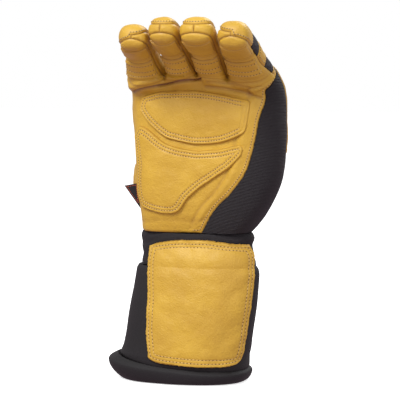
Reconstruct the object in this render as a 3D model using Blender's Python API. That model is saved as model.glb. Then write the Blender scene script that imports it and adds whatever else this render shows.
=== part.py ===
"""Long-cuff lineman work glove, left hand, fingers curled towards the palm side.

One coarse cage of the hand is smoothed and then cut along the seams into the panels
that a glove is sewn from. Each panel becomes a solid sheet with its own thickness and
a small gap to its neighbours. The cuff is turned from section tables.
Frame: +Z runs from the cuff opening to the fingers, the palm faces -Y, the thumb is at -X.
"""
import bpy
import bmesh
import math
import numpy as np
from mathutils import Vector
from mathutils.bvhtree import BVHTree

for old in list(bpy.data.objects):
    bpy.data.objects.remove(old)

NAME = "lineman_work_glove"
MM = 0.001

# Main sizes, millimetres
CUFF_HEIGHT = 98.5
HAND_HEIGHT = 104.0
PALM_BREADTH = 104.0
PALM_DEPTH = 40.0
FINGER_LENGTH = 61.0
FINGER_THICK = 18.5
THUMB_LENGTH = 60.0
THUMB_WIDTH = 21.0
WRIST_BREADTH = 74.8
WRIST_DEPTH = 34.8
CUFF_BREADTH = 88.0
CUFF_DEPTH = 59.6
CUFF_STEP_SIDE = 3.2
CUFF_STEP_FRONT = 3.8
HEM_LEFT_TOP = 17.0
HEM_RIGHT_TOP = 9.0
HEM_SWELL = 4.0
HEM_SHIFT = 1.2
TAG_REACH = 9.2

# Thicknesses and clearances, millimetres
LEATHER = 1.5
FABRIC = 1.4
PAD = 1.5
BAND_WALL = 2.4
CUFF_WALL = 3.0
HEM_WALL = 4.4
TAG_THICK = 1.0
SEAM_GAP = 0.34
LAY_GAP = 0.45
SEAM_ROLL = 0.35
THIN_WALL = 0.7
WALL_BEND = 0.7
SHORT_EDGE = 0.3

# In the tables of the hand, heights are shares of HAND_HEIGHT above the wrist seam,
# lengths across are shares of PALM_BREADTH and depths are shares of PALM_DEPTH.

# Sections of the hand from the wrist to the knuckle fold; the first takes its breadth
# and depth from the wrist: palm z, back z, centre x, half breadth, palm depth, back depth
HAND = (
    (0.0, 0.0, 0.077, 0.36, 0.45, 0.425),
    (0.10, 0.10, 0.115, 0.406, 0.50, 0.45),
    (0.22, 0.23, 0.142, 0.454, 0.525, 0.46),
    (0.35, 0.37, 0.16, 0.483, 0.525, 0.475),
    (0.485, 0.525, 0.163, 0.494, 0.51, 0.475),
    (0.62, 0.675, 0.163, 0.502, 0.50, 0.47),
    (0.745, 0.82, 0.156, 0.506, 0.485, 0.425),
    (0.855, 0.965, 0.148, 0.50, 0.45, 0.24),
)
KNUCKLE_ARCH = 0.029
# Section outline, left to right: breadth share, palm depth share, back depth share
SECTION = (
    (-0.92, 0.60, 0.60),
    (-0.76, 0.90, 0.90),
    (-0.46, 1.00, 1.00),
    (-0.20, 0.97, 1.03),
    (0.04, 0.94, 1.04),
    (0.28, 0.97, 1.03),
    (0.52, 1.00, 1.00),
    (0.78, 0.90, 0.90),
    (0.93, 0.60, 0.60),
)
# Root of the fingers, left to right: x, palm y, palm z, back y, back z
ROOT = (
    (-0.327, -0.425, 0.923, -0.10, 1.043),
    (-0.207, -0.61, 0.894, -0.06, 1.096),
    (-0.075, -0.50, 0.938, -0.175, 1.067),
    (0.029, -0.638, 0.933, -0.05, 1.115),
    (0.133, -0.513, 0.966, -0.175, 1.087),
    (0.231, -0.638, 0.947, -0.05, 1.115),
    (0.33, -0.50, 0.938, -0.175, 1.067),
    (0.457, -0.613, 0.913, -0.075, 1.096),
    (0.582, -0.425, 0.938, -0.10, 1.053),
)
ROOT_LEFT = (-0.348, -0.263, 0.986)
ROOT_RIGHT = (0.612, -0.25, 1.005)
# Bottom of the gaps between fingers: x, y, z
WEB = ((-0.073, -0.325, 0.981), (0.133, -0.338, 1.01), (0.332, -0.325, 0.981))

# Fingers from the thumb side outwards, five rings each: start y, start z, then rows of
# step (share of FINGER_LENGTH), rise in degrees, centre x, width, thickness (share of
# FINGER_THICK)
FINGERS = (
    (-0.35, 1.0, (
        (0.197, 38.0, -0.202, 0.221, 1.054),
        (0.197, 34.0, -0.187, 0.20, 1.005),
        (0.197, 24.0, -0.169, 0.196, 0.984),
        (0.197, 16.0, -0.148, 0.194, 0.973),
        (0.148, 6.0, -0.131, 0.171, 0.822),
    )),
    (-0.35, 1.014, (
        (0.213, 38.0, 0.038, 0.181, 1.054),
        (0.213, 34.0, 0.04, 0.177, 1.016),
        (0.213, 24.0, 0.042, 0.185, 0.995),
        (0.213, 20.0, 0.052, 0.19, 0.984),
        (0.148, 12.0, 0.062, 0.171, 0.832),
    )),
    (-0.35, 1.014, (
        (0.213, 38.0, 0.236, 0.187, 1.054),
        (0.213, 34.0, 0.243, 0.19, 1.027),
        (0.213, 24.0, 0.251, 0.20, 1.005),
        (0.213, 20.0, 0.265, 0.215, 1.005),
        (0.148, 12.0, 0.274, 0.192, 0.854),
    )),
    (-0.35, 1.01, (
        (0.197, 38.0, 0.464, 0.244, 1.092),
        (0.197, 34.0, 0.464, 0.227, 1.059),
        (0.197, 24.0, 0.471, 0.213, 1.027),
        (0.197, 18.0, 0.485, 0.20, 0.995),
        (0.148, 8.0, 0.496, 0.179, 0.843),
    )),
)
FINGER_TIP = 0.079
# Ring of a finger: breadth share, thickness share (palm side negative), seam coordinate
FINGER_RING = (
    (-0.78, -0.76, 0.80), (0.0, -1.0, 1.0), (0.78, -0.76, 0.80), (1.0, 0.0, 0.0),
    (0.76, 0.78, -0.80), (0.0, 1.0, -1.0), (-0.76, 0.78, -0.80), (-1.0, 0.0, 0.0),
)
# Thumb: place of its first ring on the hand, then rings of: x, y, z from the first ring
# (shares of THUMB_LENGTH), direction x, y, z, width, thickness (shares of THUMB_WIDTH)
THUMB_ROOT = (-0.308, 0.388, 0.274)
THUMB = (
    (0.0, 0.0, 0.0, -0.55, 0.75, 0.36, 0.976, 1.048),
    (-0.042, 0.175, 0.117, -0.20, 0.80, 0.56, 1.0, 1.024),
    (-0.033, 0.333, 0.30, 0.0, 0.62, 0.78, 1.0, 0.976),
    (-0.033, 0.45, 0.508, 0.0, 0.50, 0.87, 0.976, 0.905),
    (-0.033, 0.542, 0.692, 0.0, 0.42, 0.90, 0.762, 0.69),
)
THUMB_TIP = 0.1
THUMB_ROWS = (1, 3)
THUMB_RING = (
    (0.75, -0.75), (1.0, 0.0), (0.75, 0.75), (0.0, 1.0),
    (-0.75, 0.75), (-1.0, 0.0), (-0.75, -0.75), (0.0, -1.0),
)

# Border between palm leather and side gusset: height, place round the hand
# (0 is the middle of the palm, 1 its right corner, 1.5 the right side, 2 the back corner)
S_BORDER = (
    (0.0, 0.22), (0.072, 0.235), (0.137, 0.27), (0.189, 0.335), (0.24, 0.43),
    (0.298, 0.50), (0.355, 0.565), (0.409, 0.61), (0.466, 0.64), (0.527, 0.665),
    (0.591, 0.69), (0.649, 0.71), (0.713, 0.735), (0.774, 0.775), (0.837, 0.84),
    (0.899, 0.94), (0.947, 1.12), (1.01, 1.52),
)
GUSSET_BACK = 1.64
# Lower border of the knuckle guard on the back: place across, height
GUARD_BORDER = ((-1.0, 0.62), (-0.6, 0.687), (0.0, 0.726), (0.5, 0.668), (0.8, 0.572), (1.0, 0.476))
WELT_HALF = 0.46
# Seam on the outer side of the first and last finger, towards the palm
OUTER_SEAM = 0.42
# Ring heights along a finger where the back changes piece
BACK_STEPS = (0.15, 0.85, 2.0, 3.2)
# Pads on the palm side of the fingers: first and last place along the finger
FINGER_PAD = (0.75, 2.15)
TIP_PAD = (2.75, 4.35)
PAD_HALF = 0.62

# Palm pads, seen from the palm side: x and z along each edge, left to right or low to high
UPPER_PAD = (
    ((-0.232, 0.857), (-0.119, 0.886), (0.0, 0.893), (0.115, 0.895), (0.212, 0.886),
     (0.308, 0.87), (0.396, 0.849), (0.481, 0.841)),
    ((-0.219, 0.724), (-0.173, 0.675), (-0.107, 0.622), (-0.061, 0.593), (0.025, 0.572),
     (0.115, 0.555), (0.221, 0.559), (0.298, 0.57), (0.375, 0.595), (0.456, 0.63)),
    ((-0.219, 0.724), (-0.246, 0.764), (-0.242, 0.812), (-0.232, 0.857)),
    ((0.456, 0.63), (0.469, 0.707), (0.477, 0.774), (0.481, 0.841)),
)
HEEL_PAD = (
    ((-0.253, 0.687), (-0.206, 0.664), (-0.16, 0.63), (-0.107, 0.588), (-0.061, 0.559),
     (0.012, 0.536), (0.135, 0.518), (0.287, 0.53), (0.429, 0.568)),
    ((-0.242, 0.149), (-0.174, 0.136), (-0.108, 0.124), (-0.041, 0.119), (0.005, 0.126),
     (0.032, 0.148), (0.078, 0.22), (0.156, 0.286), (0.231, 0.334), (0.351, 0.412),
     (0.409, 0.466)),
    ((-0.242, 0.149), (-0.26, 0.262), (-0.262, 0.421), (-0.271, 0.514), (-0.285, 0.611),
     (-0.253, 0.687)),
    ((0.409, 0.466), (0.433, 0.499), (0.44, 0.53), (0.429, 0.568)),
)

# Wrist band sections from the wrist seam down: height (share of CUFF_HEIGHT), centre x
# (share of PALM_BREADTH), breadth (share of WRIST_BREADTH), centre y and depth (shares of
# WRIST_DEPTH). Its two ends stop a gap short of the hand and of the cuff.
WRIST = (
    (1.0, 0.077, 1.0, -0.014, 1.0),
    (0.954, 0.08, 1.032, -0.017, 1.03),
    (0.904, 0.077, 1.005, -0.017, 1.057),
    (0.848, 0.085, 1.016, -0.023, 1.103),
    (0.776, 0.088, 1.037, -0.029, 1.149),
)
# Cuff sections, in the same shares, but its breadth and depth run from those of the
# wrist with its step, at 0, to those of the open end, at 1
CUFF = (
    (0.772, 0.077, 0.0, -0.029, 0.0),
    (0.718, 0.077, 0.29, -0.029, 0.16),
    (0.63, 0.067, 0.41, -0.034, 0.33),
    (0.528, 0.053, 0.59, -0.04, 0.465),
    (0.426, 0.038, 0.65, -0.04, 0.63),
    (0.315, 0.023, 0.65, -0.034, 0.79),
    (0.223, 0.008, 0.82, -0.023, 0.93),
    (0.176, -0.008, 1.0, -0.011, 1.0),
)
SECTION_POWER = 2.25
ROUND = 30
# Rolled hem: share of its height, share of HEM_SWELL
HEM = ((0.0, -0.65), (0.06, -0.2), (0.28, 0.5), (0.55, 0.95), (0.78, 1.0), (0.93, 0.475), (1.0, 0.05))
HEM_LEFT_SWELL = 1.7
HEM_RIGHT_SWELL = 0.55
HEM_FRONT_SWELL = 0.45
HEM_THIN_END = 0.2

# Cuff patch: place round the cuff in degrees (270 is the middle of the palm side), heights
# as shares of CUFF_HEIGHT; the lower edge's are above the line where the hem begins
PATCH_TOP = ((0.0, 0.91), (0.12, 0.932), (0.3, 0.954), (0.5, 0.958), (0.7, 0.938), (0.85, 0.93), (1.0, 0.934))
PATCH_LOW = ((0.0, 0.026), (0.1, 0.023), (0.35, 0.025), (0.7, 0.03), (0.9, 0.041), (1.0, 0.056))
PATCH_LEFT = ((0.0, 252.0), (0.25, 243.5), (0.5, 239.0), (0.75, 232.0), (1.0, 225.0))
PATCH_RIGHT = ((0.0, 341.0), (0.25, 343.0), (0.5, 343.5), (0.75, 346.0), (0.9, 351.0), (1.0, 346.0))
PATCH_BLEND = 0.142

# Size tag: height of its free corner, heights of its sewn edge, and its plane
TAG_CORNER = 0.28
TAG_EDGE = (0.297, 0.136)
TAG_Y = -0.175

P, C, S, M, Q = 3, 4, 5, 6, 7
PALM, THUMB_TAG = 0, 5


def table(rows, x):
    """Straight-line lookup in a two-column table."""
    return float(np.interp(x, [r[0] for r in rows], [r[1] for r in rows]))


def on_hand(x, y, z):
    """A place on the hand, from its shares across, in depth and in height."""
    return x * PALM_BREADTH, y * PALM_DEPTH, CUFF_HEIGHT + z * HAND_HEIGHT


def share_up(z):
    """Height above the wrist seam as a share of the hand."""
    return (z - CUFF_HEIGHT) / HAND_HEIGHT


def hand_cage():
    """Vertices (x, y, z, seam p, round c, along s, welt m, across q), quads and their tags."""
    verts, quads, tags = [], [], []

    def add(x, y, z, p, c, s, m=0.0, q=0.0):
        verts.append((x, y, z, p, c, s, m, q))
        return len(verts) - 1

    def corner(j):
        return 0.80 if j in (0, 8) else 1.0

    rings = []
    for k, (zf, zb, cx, a, front, back) in enumerate(HAND):
        a, front, zf = on_hand(a, front, zf)
        cx, back, zb = on_hand(cx, back, zb)
        if k == 0:
            a = WRIST_BREADTH / 2
            front = WRIST_DEPTH * (0.5 - WRIST[0][3])
            back = WRIST_DEPTH * (0.5 + WRIST[0][3])
        s = k - len(HAND)
        ring = {}
        for j, (kx, kf, kb) in enumerate(SECTION):
            lift = KNUCKLE_ARCH * HAND_HEIGHT * (1 - kx * kx) * (k / (len(HAND) - 1.0)) ** 4
            c = 1.0 if j == 8 else kx
            ring["F%d" % j] = add(cx + a * kx, -front * kf, zf + lift, corner(j), c, s, 0, kx)
            ring["B%d" % j] = add(cx + a * kx, back * kb, zb, -corner(j), 3.0 - c, s, 0, kx)
        mid = 0.5 * (zf + zb)
        off = 0.5 * (back - front) * 0.3
        ring["R"] = add(cx + a, off, mid, 0.0, 1.5, s, 0, 1.0)
        ring["L"] = add(cx - a, off, mid, 0.0, -1.5, s, 0, -1.0)
        rings.append(ring)
    top = {}
    for j, (x, yf, zf, yb, zb) in enumerate(ROOT):
        x, yf, zf = on_hand(x, yf, zf)
        _x, yb, zb = on_hand(x, yb, zb)
        side = j in (0, 2, 4, 6, 8)
        p = 0.80 if side else 1.0
        kx = SECTION[j][0]
        c = 1.0 if j == 8 else kx
        top["F%d" % j] = add(x, yf, zf, p, c, 0.0, 0, kx)
        top["B%d" % j] = add(x, yb, zb, -p, 3.0 - c, 0.0, 0, kx)
    top["R"] = add(*on_hand(*ROOT_RIGHT), 0.0, 1.5, 0.0, 0, 1.0)
    top["L"] = add(*on_hand(*ROOT_LEFT), 0.0, -1.5, 0.0, 0, -1.0)
    web = [add(*on_hand(*w), 0.0, 0.0, 0.0, WELT_HALF, 0.0) for w in WEB]
    rings.append(top)

    order = ["F%d" % j for j in range(9)] + ["R"] + ["B%d" % j for j in range(8, -1, -1)] + ["L"]
    lo, hi = THUMB_ROWS
    for k in range(len(rings) - 1):
        for n in range(20):
            a, b = order[n], order[(n + 1) % 20]
            if lo <= k < hi and "B0" in (a, b):
                continue
            quads.append((rings[k][a], rings[k][b], rings[k + 1][b], rings[k + 1][a]))
            half = 1 if n in (4, 5, 6, 7, 8, 9, 10, 11, 12, 13) else 0
            tags.append((PALM, half))

    for i, (y, z, rows) in enumerate(FINGERS):
        left = top["L"] if i == 0 else web[i - 1]
        right = top["R"] if i == 3 else web[i]
        ring = [top["F%d" % (2 * i)], top["F%d" % (2 * i + 1)], top["F%d" % (2 * i + 2)], right,
                top["B%d" % (2 * i + 2)], top["B%d" % (2 * i + 1)], top["B%d" % (2 * i)], left]
        x_last, y, z = on_hand(0.0, y, z)
        for k, (step, rise, x, width, thick) in enumerate(rows):
            step, x, width = step * FINGER_LENGTH, x * PALM_BREADTH, width * PALM_BREADTH
            thick = thick * FINGER_THICK
            ang = math.radians(rise)
            y -= step * math.cos(ang)
            z += step * math.sin(ang)
            nxt = rows[min(k + 1, len(rows) - 1)][1]
            tilt = math.radians(0.5 * (rise + nxt))
            up = (math.sin(tilt), math.cos(tilt))
            new = []
            for j, (bx, bt, p) in enumerate(FINGER_RING):
                inner = (i > 0 and j in (6, 7, 0)) or (i < 3 and j in (2, 3, 4))
                seam = 0.0 if j in (1, 5) else WELT_HALF if inner else OUTER_SEAM
                h = bt * thick / 2
                new.append(add(x + bx * width / 2, y + up[0] * h, z + up[1] * h, p, 0.0,
                               k + 1.0, seam, 0.0))
            for j in range(8):
                quads.append((ring[j], ring[(j + 1) % 8], new[(j + 1) % 8], new[j]))
                tags.append((i + 1, 1 if j in (1, 2, 3, 4) else 0))
            ring = new
            x_last = x
        ang = math.radians(rows[-1][1])
        end = FINGER_TIP * FINGER_LENGTH
        tip = add(x_last, y - end * math.cos(ang), z + end * math.sin(ang), 0.0, 0.0,
                  len(rows) + 0.6, WELT_HALF if i in (1, 2) else 0.0, 0.0)
        for four, half in (((7, 0, 1), 0), ((1, 2, 3), 1), ((3, 4, 5), 1), ((5, 6, 7), 0)):
            quads.append((ring[four[0]], ring[four[1]], ring[four[2]], tip))
            tags.append((i + 1, half))

    r0, r1, r2 = rings[lo], rings[lo + 1], rings[hi]
    ring = [r0["L"], r1["L"], r2["L"], r2["B0"], r2["B1"], r1["B1"], r0["B1"], r0["B0"]]
    root = Vector(on_hand(*THUMB_ROOT))
    for k, (x, y, z, dx, dy, dz, width, thick) in enumerate(THUMB):
        centre = root + Vector((x, y, z)) * THUMB_LENGTH
        width, thick = width * THUMB_WIDTH, thick * THUMB_WIDTH
        d = Vector((dx, dy, dz)).normalized()
        e2 = (Vector((0, 0, 1)) - d * d.z).normalized()
        e1 = e2.cross(d)
        new = []
        for u, v in THUMB_RING:
            pt = centre + e1 * (u * width / 2) + e2 * (v * thick / 2)
            new.append(add(pt.x, pt.y, pt.z, u, 0.0, k + 1.0, 0, -1.0))
        for j in range(8):
            quads.append((ring[j], ring[(j + 1) % 8], new[(j + 1) % 8], new[j]))
            tags.append((THUMB_TAG, 0))
        ring = new
    pt = centre + d * (THUMB_TIP * THUMB_LENGTH)
    tip = add(pt.x, pt.y, pt.z, 0.0, 0.0, len(THUMB) + 0.6, 0, -1.0)
    for four in ((7, 0, 1), (1, 2, 3), (3, 4, 5), (5, 6, 7)):
        quads.append((ring[four[0]], ring[four[1]], ring[four[2]], tip))
        tags.append((THUMB_TAG, 0))
    used = sorted({v for q in quads for v in q})
    remap = {v: n for n, v in enumerate(used)}
    return (np.array([verts[v] for v in used], float),
            [tuple(remap[v] for v in q) for q in quads], tags)


def smooth_once(pts, faces):
    """One Catmull-Clark step; the first points of the result are the moved input points."""
    n = len(pts)
    centre = np.array([pts[list(f)].mean(axis=0) for f in faces])
    edge_faces = {}
    for k, f in enumerate(faces):
        for a, b in zip(f, f[1:] + f[:1]):
            edge_faces.setdefault((min(a, b), max(a, b)), []).append(k)
    edge_at = {e: n + k for k, e in enumerate(edge_faces)}
    edge_pts = np.zeros((len(edge_at), pts.shape[1]))
    f_sum = np.zeros_like(pts)
    f_num = np.zeros(n)
    e_sum = np.zeros_like(pts)
    e_num = np.zeros(n)
    rim_sum = np.zeros_like(pts)
    rim_num = np.zeros(n)
    for k, f in enumerate(faces):
        for v in f:
            f_sum[v] += centre[k]
            f_num[v] += 1
    for (a, b), fs in edge_faces.items():
        mid = 0.5 * (pts[a] + pts[b])
        row = edge_at[(a, b)] - n
        if len(fs) == 2:
            edge_pts[row] = 0.25 * (pts[a] + pts[b] + centre[fs[0]] + centre[fs[1]])
        else:
            edge_pts[row] = mid
            for v in (a, b):
                rim_sum[v] += mid
                rim_num[v] += 1
        for v in (a, b):
            e_sum[v] += mid
            e_num[v] += 1
    moved = pts.copy()
    for v in range(n):
        if rim_num[v]:
            moved[v] = 0.5 * pts[v] + 0.5 * rim_sum[v] / rim_num[v]
        elif f_num[v]:
            k = f_num[v]
            moved[v] = (f_sum[v] / k + 2 * e_sum[v] / e_num[v] + (k - 3) * pts[v]) / k
    base = n + len(edge_at)
    out = []
    for k, f in enumerate(faces):
        for j, v in enumerate(f):
            nxt, prv = f[(j + 1) % len(f)], f[j - 1]
            out.append((v, edge_at[(min(v, nxt), max(v, nxt))], base + k,
                        edge_at[(min(v, prv), max(v, prv))]))
    return np.vstack([moved, edge_pts, centre]), out


def smoothed_hand(level):
    """The smoothed hand skin, its cage adjusted so that the tables give real surface sizes."""
    pts, faces, tags = hand_cage()
    want = pts[:, :3].copy()
    for _ in range(5):
        moved, _f = smooth_once(pts, faces)
        pts[:, :3] += 0.85 * (want - moved[:len(pts), :3])
    for _ in range(level):
        pts, faces = smooth_once(pts, faces)
        tags = [t for t in tags for _k in range(4)]
    return pts, faces, tags


def cut(pts, faces, tags, field, allow, locked):
    """Cuts the skin where the field changes sign, on the faces that the allow test takes."""
    value = np.array([field(v) for v in pts])
    pick = [allow(t, pts[list(f)].mean(axis=0)) for f, t in zip(faces, tags)]
    edges = set()
    for f, ok in zip(faces, pick):
        if ok:
            for a, b in zip(f, f[1:] + f[:1]):
                edges.add((min(a, b), max(a, b)))
    crossing = []
    for a, b in edges:
        if value[a] * value[b] < 0:
            t = value[a] / (value[a] - value[b])
            crossing.append((min(t, 1 - t), a, b, t))
    crossing.sort()
    for near, a, b, t in crossing:
        if near > 0.3 or value[a] * value[b] >= 0:
            continue
        v, w, r = (a, b, t) if t < 0.5 else (b, a, 1 - t)
        if v in locked:
            if r < 0.12:
                value[v] = 0.0
            continue
        pts[v] = pts[v] * (1 - r) + pts[w] * r
        value[v] = 0.0
        locked.add(v)
    new_at = {}
    extra = []
    for a, b in edges:
        if value[a] * value[b] < 0:
            t = value[a] / (value[a] - value[b])
            new_at[(a, b)] = len(pts) + len(extra)
            extra.append(pts[a] * (1 - t) + pts[b] * t)
    if extra:
        pts = np.vstack([pts, np.array(extra)])
        value = np.concatenate([value, np.zeros(len(extra))])
        locked.update(new_at.values())
    out, out_tags = [], []
    for f, t, ok in zip(faces, tags, pick):
        loop = []
        for a, b in zip(f, f[1:] + f[:1]):
            loop.append(a)
            k = new_at.get((min(a, b), max(a, b)))
            if k is not None:
                loop.append(k)
        zeros = [j for j, v in enumerate(loop) if value[v] == 0.0]
        split = None
        if ok and len(zeros) >= 2:
            best = 0
            for i, a in enumerate(zeros):
                for b in zeros[i + 1:]:
                    one = [value[v] for v in loop[a + 1:b]]
                    two = [value[v] for v in loop[b + 1:] + loop[:a]]
                    if not one or not two:
                        continue
                    good = sum(one) * sum(two) < 0 and min(len(one), len(two)) > 0
                    score = abs(sum(one)) + abs(sum(two))
                    if good and score > best:
                        best, split = score, (a, b)
        if split:
            a, b = split
            out.append(tuple(loop[a:b + 1]))
            out.append(tuple(loop[b:] + loop[:a + 1]))
            out_tags += [t, t]
        else:
            out.append(tuple(loop))
            out_tags.append(t)
    return pts, out, out_tags


def normals_of(pts, faces):
    total = np.zeros((len(pts), 3))
    for f in faces:
        p = pts[list(f), :3]
        n = np.zeros(3)
        for j in range(1, len(f) - 1):
            n += np.cross(p[j] - p[0], p[j + 1] - p[0])
        total[list(f)] += n
    size = np.linalg.norm(total, axis=1)
    size[size == 0] = 1
    return total / size[:, None]


def wall_limit(pts, faces, normals):
    """How deep a wall may go at each point before it folds over itself at a tight bend."""
    bend = np.full(len(pts), 1e-3)
    for f in faces:
        for a, b in zip(f, f[1:] + f[:1]):
            d = pts[b, :3] - pts[a, :3]
            size = float(np.dot(d, d))
            if size > SHORT_EDGE ** 2:
                k = float(np.dot(normals[b] - normals[a], d)) / size
                bend[a] = max(bend[a], k)
                bend[b] = max(bend[b], k)
    return np.clip(WALL_BEND / bend, THIN_WALL, 99.0)


def material(name, colour, rough):
    mat = bpy.data.materials.new(name)
    mat.use_nodes = True
    bsdf = mat.node_tree.nodes["Principled BSDF"]
    bsdf.inputs["Base Color"].default_value = (*colour, 1)
    bsdf.inputs["Roughness"].default_value = rough
    return mat


GOLD = (0.72, 0.42, 0.07)
BLACK = (0.03, 0.028, 0.032)
collection = bpy.data.collections.new(NAME)
bpy.context.scene.collection.children.link(collection)


def place(name, verts, faces, colour, rough=0.6):
    """Makes one closed mesh object from millimetre points."""
    mesh = bpy.data.meshes.new(name)
    bm = bmesh.new()
    made = [bm.verts.new(Vector(v) * MM) for v in verts]
    for f in faces:
        bm.faces.new([made[k] for k in f])
    bmesh.ops.triangulate(bm, faces=bm.faces[:])
    bmesh.ops.recalc_face_normals(bm, faces=bm.faces[:])
    bm.to_mesh(mesh)
    bm.free()
    mesh.materials.append(material(name, colour, rough))
    obj = bpy.data.objects.new(name, mesh)
    collection.objects.link(obj)
    return obj


def sheet(name, pts, normals, faces, low, high, colour, roll=SEAM_ROLL, rough=0.6, limit=None):
    """A solid sheet over the given faces, from low to high above the skin, drawn in by half a gap."""
    used = sorted({v for f in faces for v in f})
    at = {v: n for n, v in enumerate(used)}
    rim = {}
    pairs = {}
    for f in faces:
        for a, b in zip(f, f[1:] + f[:1]):
            pairs[(a, b)] = True
    edges = [e for e in pairs if (e[1], e[0]) not in pairs]
    for a, b in edges:
        d = pts[b, :3] - pts[a, :3]
        for v in (a, b):
            side = np.cross(normals[v], d)
            side /= max(np.linalg.norm(side), 1e-9)
            rim.setdefault(v, []).append(side)
    top, bottom = [], []
    for v in used:
        p = pts[v, :3].copy()
        lift = high
        if v in rim:
            s = np.sum(rim[v], axis=0)
            size = np.linalg.norm(s)
            if size > 1e-6:
                s = s / size
                share = max(0.5, float(np.mean([np.dot(s, one) for one in rim[v]])))
                p = p + s * (SEAM_GAP / 2) / share
            lift = high - roll
        top.append(p + normals[v] * lift)
        deep = low if limit is None else -min(-low, limit[v])
        bottom.append(p + normals[v] * deep)
    n = len(used)
    solid = [tuple(at[v] for v in f) for f in faces]
    solid += [tuple(n + at[v] for v in reversed(f)) for f in faces]
    solid += [(at[b], at[a], n + at[a], n + at[b]) for a, b in edges]
    return place(name, top + bottom, solid, colour, rough)


def build_hand():
    pts, faces, tags = smoothed_hand(1)
    locked = set()
    count = {}
    for f in faces:
        for a, b in zip(f, f[1:] + f[:1]):
            key = (min(a, b), max(a, b))
            count[key] = count.get(key, 0) + 1
    for (a, b), k in count.items():
        if k == 1:
            locked.update((a, b))

    def finger(t, c):
        return 1 <= t[0] <= 4

    def outer(t):
        return t in ((1, 0), (4, 1))

    pts, faces, tags = cut(pts, faces, tags, lambda v: v[P] - v[M], finger, locked)
    pts, faces, tags = cut(pts, faces, tags, lambda v: -v[P] - v[M],
                           lambda t, c: finger(t, c) and not outer(t), locked)
    pts, faces, tags = cut(pts, faces, tags, lambda v: v[P],
                           lambda t, c: t == (PALM, 0) and c[Q] < -0.5, locked)
    pts, faces, tags = cut(pts, faces, tags, lambda v: v[C] - table(S_BORDER, share_up(v[2])),
                           lambda t, c: t == (PALM, 1) and c[P] > -0.3, locked)
    pts, faces, tags = cut(pts, faces, tags, lambda v: v[C] - GUSSET_BACK,
                           lambda t, c: t == (PALM, 1) and c[Q] > 0.3, locked)
    pts, faces, tags = cut(pts, faces, tags, lambda v: share_up(v[2]) - table(GUARD_BORDER, v[Q]),
                           lambda t, c: t[0] == PALM and (c[C] > GUSSET_BACK or c[P] < -0.05)
                           and (t[1] == 0 or c[C] > GUSSET_BACK), locked)
    for step in BACK_STEPS:
        pts, faces, tags = cut(pts, faces, tags, lambda v, s=step: v[S] - s,
                               lambda t, c: finger(t, c) and c[P] < (c[M] if outer(t) else -c[M]), locked)
    normals = normals_of(pts, faces)
    limit = wall_limit(pts, faces, normals)

    group = {}
    for f, (part, half) in zip(faces, tags):
        c = pts[list(f)].mean(axis=0)
        if part == THUMB_TAG:
            label = "thumb_leather"
        elif part == PALM:
            if half == 1 and table(S_BORDER, share_up(c[2])) < c[C] < GUSSET_BACK:
                label = "side_gusset"
            elif (half == 1 and c[C] < GUSSET_BACK) or (half == 0 and c[P] > 0):
                label = "palm_leather"
            elif share_up(c[2]) > table(GUARD_BORDER, c[Q]):
                label = "knuckle_guard"
            else:
                label = "back_fabric"
        elif c[P] > c[M]:
            label = "palm_leather"
        elif c[P] < -c[M] or outer((part, half)):
            zone = sum(c[S] > s for s in BACK_STEPS)
            label = ("knuckle_guard", "lower_band_%d" % part, "back_segment_%d" % part,
                     "upper_band_%d" % part, "finger_cap_%d" % part)[zone]
        else:
            label = "fourchette_%d" % (part if half == 1 else part - 1)
        group.setdefault(label, []).append(f)
    for label in sorted(group):
        dark = label in ("side_gusset", "back_fabric") or "band" in label
        thick = FABRIC if dark else LEATHER
        sheet(label, pts, normals, group[label], -thick, 0.0, BLACK if dark else GOLD,
              roll=0.15 if dark else SEAM_ROLL, limit=limit)

    skin, sfaces, stags = smoothed_hand(1)
    tree = BVHTree.FromPolygons([Vector(v[:3]) for v in skin], sfaces)
    locked = set()
    for level in (PAD_HALF,):
        skin, sfaces, stags = cut(skin, sfaces, stags, lambda v: v[P] - level, finger, locked)
    for step in FINGER_PAD + TIP_PAD:
        skin, sfaces, stags = cut(skin, sfaces, stags, lambda v, s=step: v[S] - s,
                                  lambda t, c: finger(t, c) and c[P] > PAD_HALF, locked)
    normals = normals_of(skin, sfaces)
    for i in range(1, 5):
        for label, (lo, hi) in (("finger_pad", FINGER_PAD), ("tip_pad", TIP_PAD)):
            mine = []
            for f, (part, half) in zip(sfaces, stags):
                c = skin[list(f)].mean(axis=0)
                if part == i and c[P] > PAD_HALF and lo < c[S] < hi:
                    mine.append(f)
            sheet("%s_%d" % (label, i), skin, normals, mine, LAY_GAP, LAY_GAP + PAD * 0.8, GOLD, roll=0.3)
    return tree


def along(edge, n):
    """Points spread evenly along a polyline."""
    e = np.array(edge, float)
    d = np.concatenate([[0], np.cumsum(np.linalg.norm(np.diff(e, axis=0), axis=1))])
    t = np.linspace(0, d[-1], n + 1)
    return np.stack([np.interp(t, d, e[:, 0]), np.interp(t, d, e[:, 1])], axis=1)


def coons(top, low, left, right, nu, nv):
    """A grid filled in between four edges that meet at their ends."""
    t, b, le, r = along(top, nu), along(low, nu), along(left, nv), along(right, nv)
    grid = np.zeros((nv + 1, nu + 1, 2))
    for j in range(nv + 1):
        v = j / nv
        for i in range(nu + 1):
            u = i / nu
            grid[j, i] = ((1 - v) * b[i] + v * t[i] + (1 - u) * le[j] + u * r[j]
                          - (1 - u) * (1 - v) * b[0] - u * (1 - v) * b[-1]
                          - (1 - u) * v * t[0] - u * v * t[-1])
    return grid


def laid_sheet(name, grid3, normals3, low, high, colour, roll):
    """A solid sheet over a grid of surface points."""
    nv, nu = grid3.shape[0] - 1, grid3.shape[1] - 1
    pts = grid3.reshape(-1, 3)
    nrm = normals3.reshape(-1, 3)
    faces = []
    for j in range(nv):
        for i in range(nu):
            a = j * (nu + 1) + i
            faces.append((a, a + 1, a + nu + 2, a + nu + 1))
    return sheet(name, pts, nrm, faces, low, high, colour, roll)


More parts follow.
